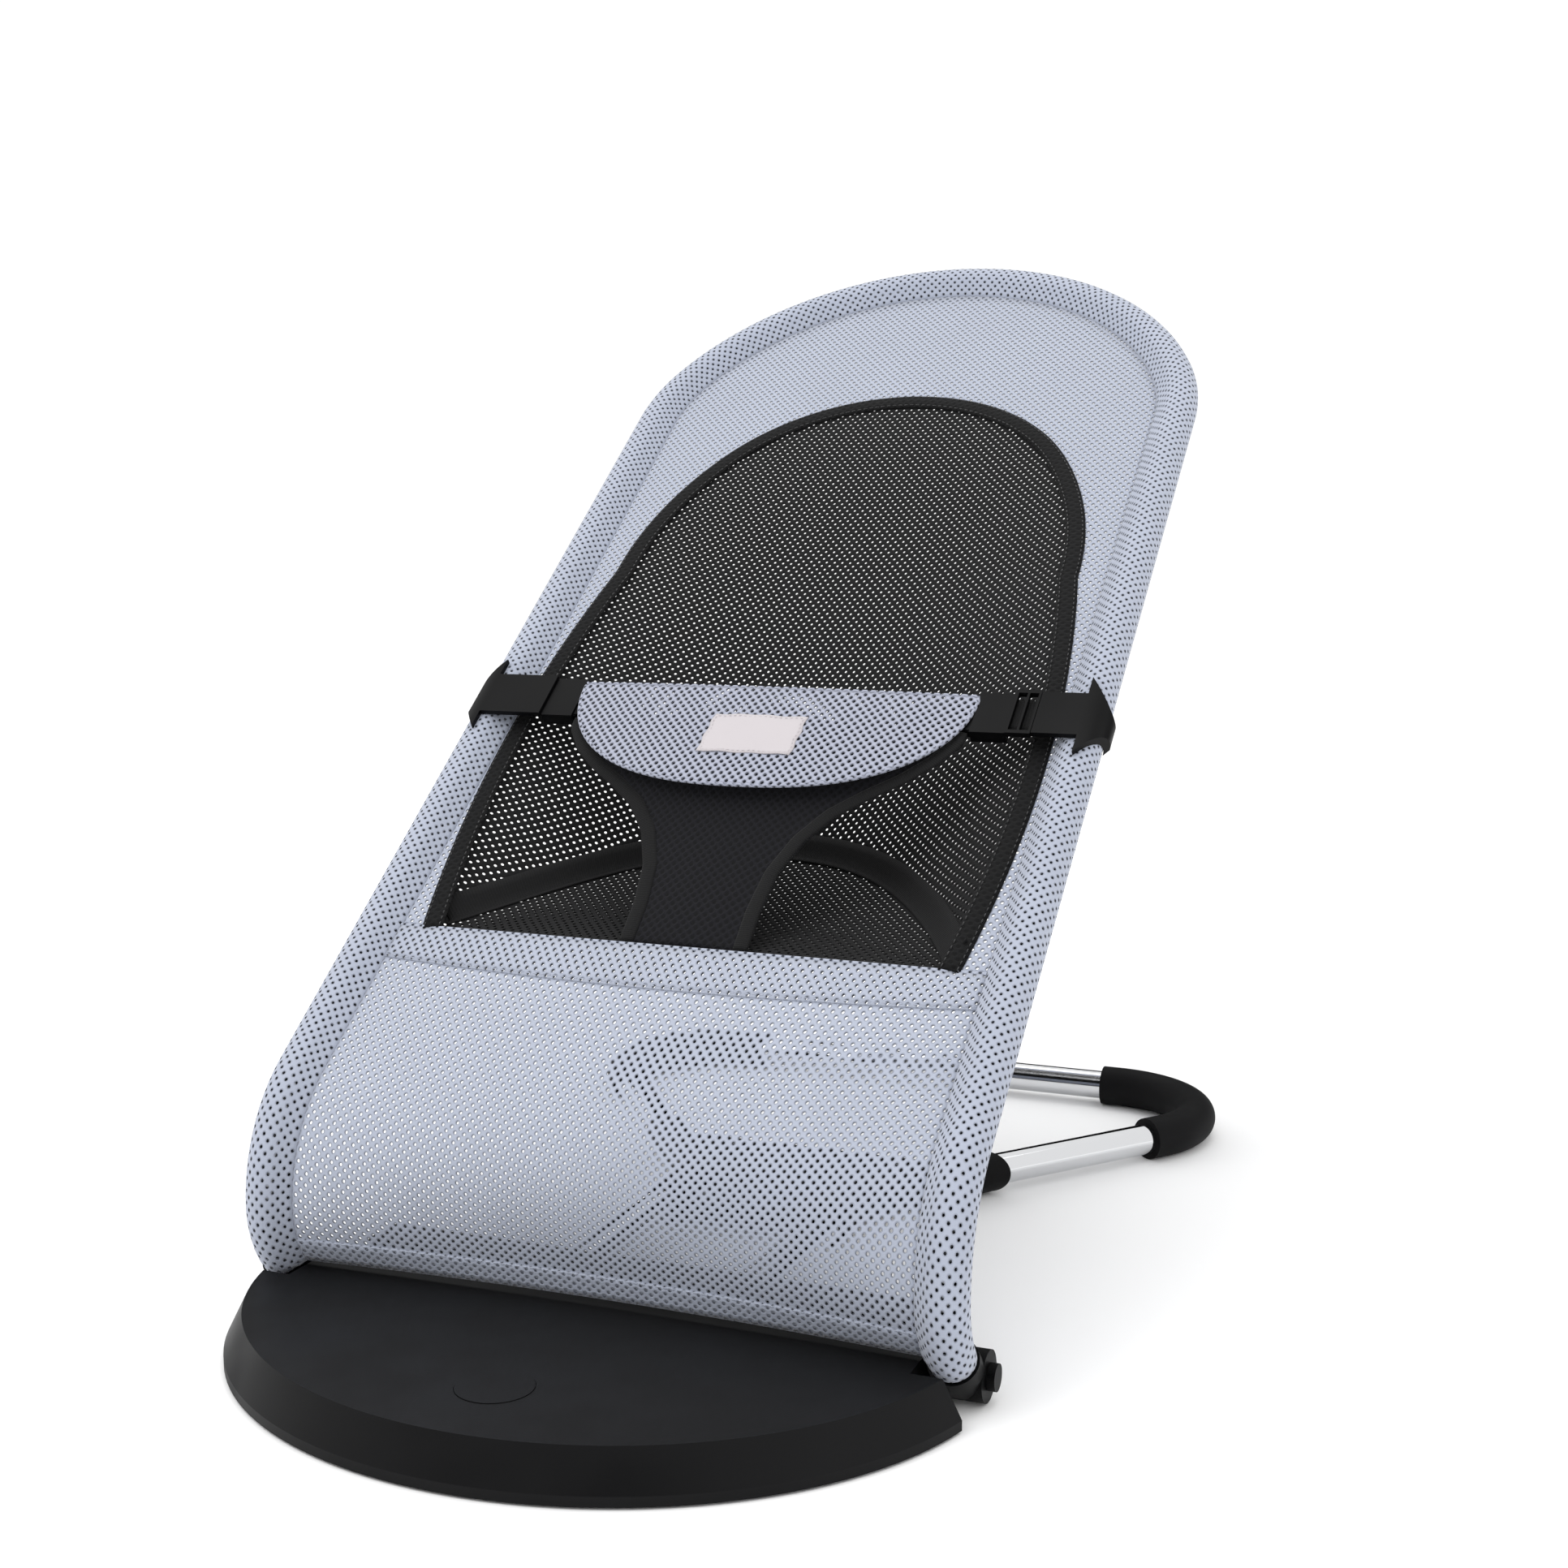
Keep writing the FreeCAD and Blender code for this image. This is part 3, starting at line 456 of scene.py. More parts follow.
def warp_knit(name, colour, sizes, open_holes=True, sheen=0.25, holes=1.0):
    """Open warp-knit polyester mesh: staggered oval holes between rounded yarn bars.

    The bars darken towards each hole with painted shade, so their crowns read lighter. With
    open_holes off, the cloth is double and its holes show as dents darkened with painted shade.
    """
    material, tree = fresh(name)
    place = node(tree, "TexCoord")["Object"]
    fibre = node(tree, "TexNoise", {"Vector": place, "Scale": per_mm(0.5), "Roughness": 0.6})[0]
    patch = node(tree, "TexNoise", {"Vector": place, "Scale": per_mm(45.0)})[0]
    distance = hole_distance(tree, sizes, holes)
    smooth = {"interpolation_type": "SMOOTHSTEP"}
    bar = {"Value": distance, "From Min": 0.85, "From Max": 1.9}
    crown = node(tree, "MapRange", bar, **smooth)[0]
    wear = {"Value": patch, "From Min": 0.3, "From Max": 0.7, "To Max": 0.16}
    worn = node(tree, "MapRange", wear, **smooth)[0]
    # painted shade: each yarn bar darkens from its crown towards the rim of the hole
    yarn = {"Factor": crown, 6: shaded(colour, 0.62), 7: shaded(colour, 1.0)}
    tone = node(tree, "Mix", yarn, data_type="RGBA")[2]
    faded = {"Factor": worn, 6: tone, 7: shaded(colour, 0.8)}
    tone = node(tree, "Mix", faded, data_type="RGBA")[2]
    height = node(tree, "Math", {0: fibre, 1: 0.35, 2: crown}, operation="MULTIPLY_ADD")[0]
    extra = {}
    if open_holes:
        hole = {"Value": distance, "From Min": 0.82, "From Max": 1.05}
        extra["Alpha"] = node(tree, "MapRange", hole, **smooth)[0]
    else:
        hole = {"Value": distance, "From Min": 0.7, "From Max": 1.05, "To Min": 1.0, "To Max": 0.0}
        dent = node(tree, "MapRange", hole, **smooth)[0]
        # painted shade: the cloth darkens towards the middle of each dent
        dent_painted_shade = {"Factor": dent, 6: tone, 7: shaded(colour, 0.3)}
        tone = node(tree, "Mix", dent_painted_shade, data_type="RGBA")[2]
    extra["Sheen Weight"] = sheen
    extra["Sheen Roughness"] = 0.5
    return close(material, tree, tone, 0.85, height, 0.35, 0.8, Specular_IOR_Level=0.2, **extra)


def woven_tape(name, colour, rib=1.2):
    """Woven polyester tape: fine cross ribs and a dull, slightly mottled face."""
    material, tree = fresh(name)
    lengthwise = node(tree, "UVMap", uv_map=UV_NAME)[0]
    wave = {"Vector": lengthwise, "Scale": WAVE_BAND / rib, "Distortion": 0.6, "Detail": 1.0}
    ribs = node(tree, "TexWave", wave, bands_direction="X")[1]
    place = node(tree, "TexCoord")["Object"]
    fibre = node(tree, "TexNoise", {"Vector": place, "Scale": per_mm(0.6), "Roughness": 0.6})[0]
    height = node(tree, "Math", {0: ribs, 1: fibre}, operation="ADD")[0]
    # painted light: the rib crowns lighter as painted highlight, the grooves darker as painted shade
    face = {"Factor": ribs, 6: shaded(colour, 0.75), 7: shaded(colour, 1.15)}
    tone = node(tree, "Mix", face, data_type="RGBA")[2]
    return close(
        material, tree, tone, 0.8, height, 0.15, 0.7, Sheen_Weight=0.04, Specular_IOR_Level=0.2
    )


def moulded(name, colour, roughness, grain_mm, bump_mm):
    """Moulded plastic or rubber: spark-eroded grain, with gloss that varies in soft patches."""
    material, tree = fresh(name)
    place = node(tree, "TexCoord")["Object"]
    eroded = {"Vector": place, "Scale": per_mm(grain_mm), "Roughness": 0.6}
    fine = node(tree, "TexNoise", eroded)[0]
    patch = node(tree, "TexNoise", {"Vector": place, "Scale": per_mm(60.0)})[0]
    shine = {"Value": patch, "From Min": 0.3, "From Max": 0.7}
    shine.update({"To Min": roughness - 0.08, "To Max": roughness + 0.08})
    gloss = node(tree, "MapRange", shine, interpolation_type="SMOOTHSTEP")[0]
    face = {"Factor": patch, 6: shaded(colour, 0.9), 7: shaded(colour, 1.1)}
    tone = node(tree, "Mix", face, data_type="RGBA")[2]
    return close(material, tree, tone, gloss, fine, bump_mm, 0.5, IOR=1.49, Specular_IOR_Level=0.1)


def plated(name, colour, roughness, spread):
    """Plated or ground steel: a metal whose gloss varies with handling and polishing."""
    material, tree = fresh(name)
    place = node(tree, "TexCoord")["Object"]
    patch = node(tree, "TexNoise", {"Vector": place, "Scale": per_mm(25.0), "Detail": 3.0})[0]
    shine = {"Value": patch, "From Min": 0.3, "From Max": 0.7}
    shine.update({"To Min": roughness, "To Max": roughness + spread})
    gloss = node(tree, "MapRange", shine, interpolation_type="SMOOTHSTEP")[0]
    return close(material, tree, shaded(colour, 1.0), gloss, Metallic=1.0)


def plain_cloth(name, colour, thread_mm):
    """Close satin weave or sewing thread: fine threads one way, soft sheen."""
    material, tree = fresh(name)
    place = node(tree, "TexCoord")["Object"]
    wave = {"Vector": place, "Scale": WAVE_BAND * per_mm(thread_mm), "Distortion": 0.5, "Detail": 1.0}
    threads = node(tree, "TexWave", wave, bands_direction="X")[1]
    # painted shade: the grooves between the threads are a little darker
    face = {"Factor": threads, 6: shaded(colour, 0.93), 7: shaded(colour, 1.0)}
    tone = node(tree, "Mix", face, data_type="RGBA")[2]
    return close(material, tree, tone, 0.6, threads, 0.08, 0.5, Sheen_Weight=0.3)


# --- properties ----------------------------------------------------------------------------
def colour_property(name, description, code):
    return bpy.props.FloatVectorProperty(
        name=name,
        description=description,
        default=linear(code),
        min=0.0,
        max=1.0,
        size=3,
        subtype="COLOR",
    )


def size_property(name, description, millimetres):
    """A size, which the sidebar shows in the scene's own length unit."""
    return bpy.props.FloatProperty(
        name=name,
        description=description,
        default=millimetres * MM,
        min=0.01 * MM,
        max=50.0 * MM,
        precision=4,
        subtype="DISTANCE",
    )


class BouncerMeshSizes(bpy.types.PropertyGroup):
    """Sizes of the knit and its sewing"""

    pitch: size_property("Hole pitch", "Between holes along a row", 5.2)
    row: size_property("Row pitch", "Between staggered rows", 2.9)
    hole_width: size_property("Hole width", "Across one hole", 1.7)
    hole_height: size_property("Hole height", "Along one hole", 2.0)
    cloth_thick: size_property("Cloth", "Thickness of the mesh", 0.7)
    binding_width: size_property("Binding", "Width of the arch binding", 12.0)
    seam_reach: size_property("Seam reach", "From the tube's middle to the sleeve's seam", 14.5)
    stitch_pitch: size_property("Stitch pitch", "Between stitches", 4.0)


class KnitSizes:
    """The sizes of BouncerMeshSizes, in millimetres, without the last digits of single precision."""

    def __init__(self, group):
        for key in BouncerMeshSizes.__annotations__:
            setattr(self, key, round(getattr(group, key) / MM, 4))


class BouncerColours(bpy.types.PropertyGroup):
    """Colours of the finishes"""

    light_mesh: colour_property("Light mesh", "Pale blue grey knit", "#A6ACBB")
    waist_mesh: colour_property("Waist mesh", "Knit of the waist crescent", "#A5A9B9")
    black_mesh: colour_property("Black mesh", "Knit of the seat insert", "#141415")
    crotch: colour_property("Crotch panel", "Close spacer mesh", "#141419")
    black_tape: colour_property("Black tape", "Bindings and webbing", "#101011")
    label: colour_property("Label", "Plain sewn label", "#BDB7BA")
    plate: colour_property("Footplate", "Moulded footplate", "#131314")
    plastic: colour_property("Buckle plastic", "Buckles, anchors and shoes", "#070708")
    chrome: colour_property("Chrome", "Plated floor loop", "#D8D9DB")
    steel: colour_property("Steel", "Seat frame and screws", "#8F9194")
    rubber: colour_property("Rubber", "Sleeves and pads", "#121213")
    floor: colour_property("Floor", "Studio floor", "#FDFDFD")


MATERIALS = {}


def finish_named(key):
    """Makes each finish the first time it is asked for."""
    if key not in MATERIALS:
        colours = bpy.context.scene.bouncer_colours
        sizes = KnitSizes(bpy.context.scene.bouncer_mesh)
        pale, black = colours.light_mesh, colours.black_tape
        close_knit = {"open_holes": False, "sheen": 0.02}
        makers = {
            # polyester knit: matt yarn bars with a soft sheen, and light through the holes
            "light": lambda: warp_knit("Polyester warp-knit mesh, pale", pale, sizes),
            # the same knit drawn round a tube: its holes close a little
            "sleeve": lambda: warp_knit("Polyester warp-knit sleeve, pale", pale, sizes, holes=0.85),
            # spacer mesh: thicker, with wider holes over a dark core
            "waist": lambda: warp_knit(
                "Polyester spacer mesh, grey", colours.waist_mesh, sizes, holes=1.3
            ),
            # black knit: almost no sheen, so its bars stay darker than what shows through
            "black": lambda: warp_knit(
                "Polyester warp-knit mesh, black", colours.black_mesh, sizes, sheen=0.03
            ),
            # doubled knit: the holes of one layer lie over the other, and show as dents
            # with painted shade in them
            "black_double": lambda: warp_knit(
                "Polyester mesh binding, black", black, sizes, **close_knit
            ),
            # close spacer mesh: wide, shallow dents with painted shade, in a matt face
            "crotch": lambda: warp_knit(
                "Polyester spacer mesh, blue black", colours.crotch, sizes, holes=1.3, **close_knit
            ),
            # woven tape: dull, with cross ribs painted lighter in lines as painted highlight,
            # and painted shade between them
            "tape": lambda: woven_tape("Woven polyester tape, black", black),
            # webbing: heavier ribs
            "webbing": lambda: woven_tape("Polyester webbing, black", black, 1.8),
            # satin weave: a smooth, pale face with a soft sheen
            "label": lambda: plain_cloth("Satin label", colours.label, 0.5),
            # twisted thread: a fine glint on each stitch, with painted shade between its threads
            "light_thread": lambda: plain_cloth("Polyester thread, pale", pale, 0.3),
            "black_thread": lambda: plain_cloth("Polyester thread, black", colours.black_mesh, 0.3),
            # moulded ABS: fine matt grain that breaks up the highlight
            "plate": lambda: moulded("Moulded ABS, fine texture", colours.plate, 0.5, 0.7, 0.06),
            # acetal: waxy satin face, almost smooth
            "acetal": lambda: moulded("Moulded acetal", colours.plastic, 0.46, 0.4, 0.02),
            # rubber: matt, soft highlight
            "rubber": lambda: moulded("Rubber sleeve", colours.rubber, 0.62, 0.8, 0.05),
            # bright chrome: sharp reflections with faint handling marks
            "chrome": lambda: plated("Chrome plated steel", colours.chrome, 0.06, 0.06),
            # zinc plate: soft grey metal
            "zinc": lambda: plated("Zinc plated steel", colours.steel, 0.32, 0.12),
        }
        MATERIALS[key] = makers[key]()
    return MATERIALS[key]


# --- operators -----------------------------------------------------------------------------
NODE_FINISHES = (
    ("plate", ("footplate_cover", "hinge_cover", "footplate_tray", "badge_disc")),
    ("chrome", ("floor_loop",)),
    ("zinc", ("side_tube", "head_hoop", "tray_screws", "brace_screws", "hinge_axle")),
    ("rubber", ("corner_sleeve", "foot_pad")),
    (
        "acetal",
        (
            "tube_shoe",
            "tube_saddle",
            "loop_plug",
            "brace_upper",
            "brace_lower",
            "axle_cap",
            "axle_bracket",
            "detent_disc",
            "belt_anchor",
            "ladder_lock",
            "buckle_socket",
            "buckle_tongue",
        ),
    ),
)


class BouncerStep:
    bl_options = {"REGISTER", "UNDO"}


class BOUNCER_OT_finishes(BouncerStep, bpy.types.Operator):
    """Gives the frame's own pieces their plastic, steel and rubber finishes"""

    bl_idname = "bouncer.finishes"
    bl_label = "Frame finishes"

    def execute(self, context):
        for key, starts in NODE_FINISHES:
            for name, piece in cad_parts.items():
                if name.startswith(starts):
                    for slot in piece.material_slots:
                        slot.material = finish_named(key)
        return {"FINISHED"}


def sleeve_section(t, reach, radius):
    """(out, up) of the sleeve at share t, from its seam over the tube and back under it."""
    lean = math.acos(radius / reach)
    touch = math.pi - lean
    straight = math.sqrt(reach**2 - radius**2)
    arc = 2 * touch * radius
    total = 2 * straight + arc
    goal = t * total
    first = Vector((radius * math.cos(touch), radius * math.sin(touch)))
    if goal < straight:
        return Vector((-reach, 0.0)).lerp(first, goal / straight), total
    if goal < straight + arc:
        angle = touch - (goal - straight) / radius
        return Vector((radius * math.cos(angle), radius * math.sin(angle))), total
    last = Vector((first.x, -first.y))
    return last.lerp(Vector((-reach, 0.0)), (goal - straight - arc) / straight), total


class BOUNCER_OT_sleeve(BouncerStep, bpy.types.Operator):
    """Sews the sleeve that holds the seat frame, from the right foot over the head"""

    bl_idname = "bouncer.sleeve"
    bl_label = "Frame sleeve"

    def execute(self, context):
        sizes = KnitSizes(context.scene.bouncer_mesh)
        radius = TUBE_RADIUS + SLEEVE_EASE
        reach = sizes.seam_reach

        def place(s, t):
            centre, out, up = station(s * 2 * HALF_RUN)
            section, _ = sleeve_section(t, reach, radius)
            return (centre + out * section.x + up * section.y) * MM

        def flat(s, t):
            return t * sleeve_section(0, reach, radius)[1], s * 2 * HALF_RUN

        centres = [station(i / 120 * 2 * HALF_RUN)[0] * MM for i in range(121)]

        def outward(point):
            return point - min(centres, key=lambda p: (p - point).length_squared)

        sleeve = cloth("frame_sleeve", 420, 30, place, flat, outward, finish_named("sleeve"))
        thicken(sleeve, sizes.cloth_thick, 1.0)
        width = sleeve_section(0, reach, radius)[1]
        on_seat(sleeve, "light_mesh", "tunnel_left", "tunnel_right", "tunnel_head")

        seam = []
        for i in range(301):
            centre, out, up = station(i / 300 * 2 * HALF_RUN)
            seam.append((centre - out * (reach - 3.0) + up * 1.9) * MM)
        thread = stitches(
            "sleeve_stitches",
            [Route(seam)],
            sizes.stitch_pitch,
            2.8,
            0.8,
            0.2,
            finish_named("light_thread"),
        )
        on_seat(thread, "light_mesh")
        return {"FINISHED"}


def seam_line(reach):
    """The sleeve's seam from the pocket edge over the head, in the back plane."""
    half = TUBE_X - reach
    right = [(half, v) for v in range(int(POCKET_V), int(HOOP_SPRING), 5)]
    right += arch_points(half, HOOP_SPRING, HOOP_SIDE_RADIUS - reach, BACK_LENGTH - reach)
    return Route([(x, v, 0) for x, v in both_halves(right)])


class BOUNCER_OT_surround(BouncerStep, bpy.types.Operator):
    """Fills between the sleeve's seam and the black insert"""

    bl_idname = "bouncer.surround"
    bl_label = "Light surround"

    def execute(self, context):
        sizes = KnitSizes(context.scene.bouncer_mesh)
        outer = seam_line(sizes.seam_reach)

        def flat(s, t):
            point = outer.at(s).lerp(insert_line.at(s), t)
            return point.x, point.y

        def place(s, t):
            return back(*flat(s, t))

        piece = cloth("seat_surround", 300, 12, place, flat, facing_up, finish_named("light"))
        thicken(piece, sizes.cloth_thick)
        on_seat(piece, "light_mesh", "surround")
        return {"FINISHED"}


TAPE_INSET = 0.015  # share of the crease that stays bare at each end of its tape


def crease_point(s):
    x = ARCH_FOOT * (1 - 2 * s)
    return x, crease_v(x)


def on_back_mesh(s, t):
    """(x, v) from the crease at t 0 to the arch at t 1."""
    x0, v0 = crease_point(s)
    edge = insert_line.at(s)
    return x0 + (edge.x - x0) * t, v0 + (edge.y - v0) * t


def on_seat_mesh(s, t):
    """Place from the crease at t 0 forward to the pocket edge at t 1."""
    x, v = crease_point(s)
    top = back(x, v, -sling_depth(x, v))
    foot = back(x, POCKET_V, -POCKET_DEPTH)
    sag = SEAT_SAG * math.sin(math.pi * t) * (1 - abs(x / ARCH_FOOT) ** 2)
    return top.lerp(foot, t) - above * sag * MM


class BOUNCER_OT_insert(BouncerStep, bpy.types.Operator):
    """Makes the black mesh back and seat, and the tape along their crease"""

    bl_idname = "bouncer.insert"
    bl_label = "Black insert"

    def execute(self, context):
        sizes = KnitSizes(context.scene.bouncer_mesh)
        black = finish_named("black")

        def place(s, t):
            x, v = on_back_mesh(s, t)
            return back(x, v, -sling_depth(x, v))

        piece = cloth("back_mesh_sheet", 150, 80, place, on_back_mesh, facing_up, black)
        thicken(piece, sizes.cloth_thick)
        on_seat(piece, "black_mesh", "back_mesh")

        def seat_flat(s, t):
            x, v = crease_point(s)
            return x, v + (POCKET_V - v) * t

        seat = cloth("seat_mesh_sheet", 120, 40, on_seat_mesh, seat_flat, facing_up, black)
        thicken(seat, sizes.cloth_thick)
        on_seat(seat, "black_mesh", "seat_mesh")

        up_back, down_seat = 15.0, 5.0  # the tape's reach each way from the crease

        def tape_place(s, t):
            s = TAPE_INSET + (1 - 2 * TAPE_INSET) * s
            x, v = crease_point(s)
            middle = back(x, v, -sling_depth(x, v))
            reach = 2 * t - 1
            if reach > 0:
                ahead = on_back_mesh(s, 0.04)
                toward = (back(*ahead, -sling_depth(*ahead)) - middle).normalized() * up_back
            else:
                toward = (on_seat_mesh(s, 0.05) - middle).normalized() * down_seat
            return middle + toward * (abs(reach) * MM) + above * 1.1 * MM

        strip = cloth(
            "crease_tape",
            120,
            6,
            tape_place,
            lambda s, t: (s * 400, t * (up_back + down_seat)),
            facing_up,
            finish_named("tape"),
        )
        thicken(strip, 0.8)
        on_seat(strip, "black_tape")
        return {"FINISHED"}


class BOUNCER_OT_binding(BouncerStep, bpy.types.Operator):
    """Binds the seam of the black insert and sews it down"""

    bl_idname = "bouncer.binding"
    bl_label = "Arch binding"

    def execute(self, context):
        sizes = KnitSizes(context.scene.bouncer_mesh)
        edge = [(p.x, p.y) for p in insert_line.points]
        route = plane_route(edge, 0.2)
        half = sizes.binding_width / 2
        double = finish_named("black_double")
        piece = tape("arch_binding_tape", route, sizes.binding_width, 0.5, 1.0, double, steps=260)
        thicken(piece, 0.8)
        on_seat(piece, "black_tape", "arch_binding")
        rows = []
        for offset in (half - 1.6, -half + 1.6):
            points = []
            for i in range(241):
                heading = insert_line.heading(i / 240)
                side = Vector((heading.y, -heading.x, 0))
                points.append(insert_line.at(i / 240) + side * offset)
            rows.append(plane_route([(p.x, p.y) for p in points], 1.9))
        black = finish_named("black_thread")
        thread = stitches("binding_stitches", rows, sizes.stitch_pitch, 2.8, 0.7, 0.0, black)
        on_seat(thread, "black_tape")
        return {"FINISHED"}


POCKET_RUN = BENDS + POCKET_V
HEM_LEAD = 12.0  # hem in front of the hinge
HEM_Z = 27.0
PANEL_BOW = 41.0
HEM_FACE = Vector((0, -1, 0.5)).normalized()


def on_lower_panel(x, share, half):
    """Place on the lower panel: along the tube at its sides, drawn back to the hem between."""
    centre, _, _ = station(POCKET_RUN * (1 - share))
    side = Vector((x, centre.y, centre.z))
    start = back_start + along * POCKET_V
    hem = Vector((0, hinge.y - HEM_LEAD, HEM_Z))
    middle = start.lerp(hem, share) + Vector((0, -PANEL_BOW * math.sin(math.pi * share), 0))
    middle.x = x
    drawn = 1 - min(1.0, abs(x) / half) ** 2
    return side.lerp(middle, drawn) * MM


def front_of(point):
    return Vector((0, -1, 0.4))


class BOUNCER_OT_lower_panel(BouncerStep, bpy.types.Operator):
    """Makes the lower front panel with its pocket edge and bottom hem"""

    bl_idname = "bouncer.lower_panel"
    bl_label = "Lower panel"

    def execute(self, context):
        sizes = KnitSizes(context.scene.bouncer_mesh)
        half = TUBE_X - sizes.seam_reach
        light = finish_named("light")

        def place(s, t):
            return on_lower_panel(half * (2 * s - 1), t, half)

        def flat(s, t):
            return half * (2 * s - 1), -t * POCKET_RUN

        piece = cloth("lower_panel_sheet", 120, 90, place, flat, front_of, light)
        thicken(piece, sizes.cloth_thick)
        on_seat(piece, "light_mesh", "lower_panel")

        for name, share, depth in (("pocket_hem", 0.0, 22.0), ("plate_hem", 1.0, -16.0)):
            step = depth / POCKET_RUN

            def fold(s, t, share=share, step=step):
                x = half * (2 * s - 1)
                point = on_lower_panel(x, share + step * t, half)
                return point + HEM_FACE * (0.9 * MM)

            facing = cloth(
                name,
                120,
                4,
                fold,
                lambda s, t, d=depth: (half * (2 * s - 1), -t * d),
                front_of,
                light,
            )
            thicken(facing, 0.8)
            on_seat(facing, "light_mesh")
            lift = Vector((0, 0, 0.6 * MM))  # keeps the plate hem's roll off the footplate
            stops = [half * (i / 60 - 1) for i in range(121)]
            edge = Route([on_lower_panel(x, share, half) + lift for x in stops])
            cord = roll(name + "_roll", edge, 1.1, light, front_of)
            on_seat(cord, "light_mesh")
            line = Route(
                [on_lower_panel(x, share + step * 0.93, half) + HEM_FACE * 1.5 * MM for x in stops]
            )
            pale = finish_named("light_thread")
            pitch = sizes.stitch_pitch
            thread = stitches(name + "_stitches", [line], pitch, 2.8, 0.7, 0.0, pale, front_of)
            on_seat(thread, "light_mesh")
        return {"FINISHED"}


# (v, half width) up the crotch panel, from the pocket edge to behind the crescent
CROTCH_OUTLINE = (
    (104.0, 36.0),
    (130.0, 36.0),
    (155.0, 39.0),
    (178.0, 48.0),
    (196.0, 61.0),
    (210.0, 78.0),
    (222.0, 95.0),
    (234.0, 108.0),
    (250.0, 118.5),
    (262.0, 119.0),
)


FLARE_V = 232.0  # where the panel reaches the crescent


def crotch_half(v):
    """Half width of the crotch panel at v."""
    for (v0, x0), (v1, x1) in zip(CROTCH_OUTLINE, CROTCH_OUTLINE[1:]):
        if v <= v1:
            share = (v - v0) / (v1 - v0)
            return x0 + (x1 - x0) * share
    return CROTCH_OUTLINE[-1][1]


def crotch_depth(v):
    """Flat from behind the crescent down to the pocket edge."""
    top, low = CRESCENT_D - 2.4, -3.0
    foot_v = CROTCH_OUTLINE[0][0]
    return low + (top - low) * min(1.0, (v - foot_v) / (FLARE_V - foot_v))


class BOUNCER_OT_crotch(BouncerStep, bpy.types.Operator):
    """Makes the crotch panel with its flared top and bound sides"""

    bl_idname = "bouncer.crotch"
    bl_label = "Crotch panel"

    def execute(self, context):
        low_v, top_v = CROTCH_OUTLINE[0][0], CROTCH_OUTLINE[-1][0]

        def flat(s, t):
            v = low_v + (top_v - low_v) * t
            return crotch_half(v) * (2 * s - 1), v

        def place(s, t):
            x, v = flat(s, t)
            bulge = 2.0 * (1 - (2 * s - 1) ** 2)
            return back(x, v, crotch_depth(v) + bulge - 1.2)

        piece = cloth("crotch_sheet", 40, 60, place, flat, facing_up, finish_named("crotch"))
        thicken(piece, 1.4)
        on_seat(piece, "black_mesh", "crotch_panel")
        sides = []
        for way in (-1, 1):
            points = []
            for i in range(61):
                v = low_v + (top_v - 4 - low_v) * i / 60
                points.append(back(way * (crotch_half(v) - 3.5), v, crotch_depth(v) - 0.4))
            sides.append(Route(points))
        for name, route in zip(("crotch_binding_left", "crotch_binding_right"), sides):
            edge = tape(name, route, 8.0, 0.5, 0.8, finish_named("tape"), steps=60)
            thicken(edge, 0.8)
            on_seat(edge, "black_tape")
        return {"FINISHED"}


def crescent_low(x):
    """The crescent's lower edge, a rounded bowl."""
    share = min(1.0, abs(x) / CRESCENT_HALF)
    return CRESCENT_TOP - 2 - (CRESCENT_DROP - 2) * math.sqrt(max(0.0, 1 - share**SAG_SHAPE))


def crescent_top(x):
    """The crescent's upper edge, which dips a little in the middle."""
    return CRESCENT_TOP - 4 * (1 - (x / CRESCENT_HALF) ** 2)


def crescent_place(x, v, lift=0.0):
    """On the crescent, which bellies forward a little between its ends."""
    belly = 5.0 * (1 - (x / CRESCENT_HALF) ** 2)
    return back(x, v, CRESCENT_D + 0.8 + belly + lift)


class BOUNCER_OT_waist(BouncerStep, bpy.types.Operator):
    """Makes the waist crescent, its edges and the plain sewn label"""

    bl_idname = "bouncer.waist"
    bl_label = "Waist crescent"

    def execute(self, context):
        grey = finish_named("waist")

        def flat(s, t):
            x = CRESCENT_HALF * math.sin((s - 0.5) * math.pi)
            low = crescent_low(x)
            return x, low + (crescent_top(x) - low) * t

        def place(s, t):
            return crescent_place(*flat(s, t))

        piece = cloth("waist_crescent_sheet", 90, 30, place, flat, facing_up, grey)
        thicken(piece, 1.0)
        on_seat(piece, "light_mesh", "waist_crescent")
        spots = [CRESCENT_HALF * math.sin((i / 80 - 0.5) * math.pi) for i in range(81)]
        for name, at in (("crescent_top_edge", crescent_top), ("crescent_low_edge", crescent_low)):
            edge = roll(name, Route([crescent_place(x, at(x)) for x in spots]), 1.1, grey)
            on_seat(edge, "light_mesh")

        half_w, half_h = 28.0, 15.0

        def label_flat(s, t):
            x, v = half_w * (2 * s - 1), half_h * (2 * t - 1)
            wave = 0.5 * math.sin(v * 0.5)
            return x + wave + v * 0.05, LABEL_V + v + 0.3 * math.sin(x * 0.35)

        label = cloth(
            "sewn_label_patch",
            24,
            14,
            lambda s, t: crescent_place(*label_flat(s, t), 0.9 + 0.25 * math.sin(9 * s + 4 * t)),
            label_flat,
            facing_up,
            finish_named("label"),
        )
        thicken(label, 0.4)
        on_seat(label, "label", "sewn_label")
        rim = []
        for a, b in (((-1, -1), (1, -1)), ((1, -1), (1, 1)), ((1, 1), (-1, 1)), ((-1, 1), (-1, -1))):
            corners = []
            for i in range(21):
                s = (a[0] + (b[0] - a[0]) * i / 20) * 0.94
                t = (a[1] + (b[1] - a[1]) * i / 20) * 0.9
                corners.append(crescent_place(*label_flat((s + 1) / 2, (t + 1) / 2), 1.2))
            rim.append(Route(corners))
        thread = stitches("label_stitches", rim, 3.0, 2.0, 0.4, 0.1, finish_named("label"))
        on_seat(thread, "label")
        return {"FINISHED"}


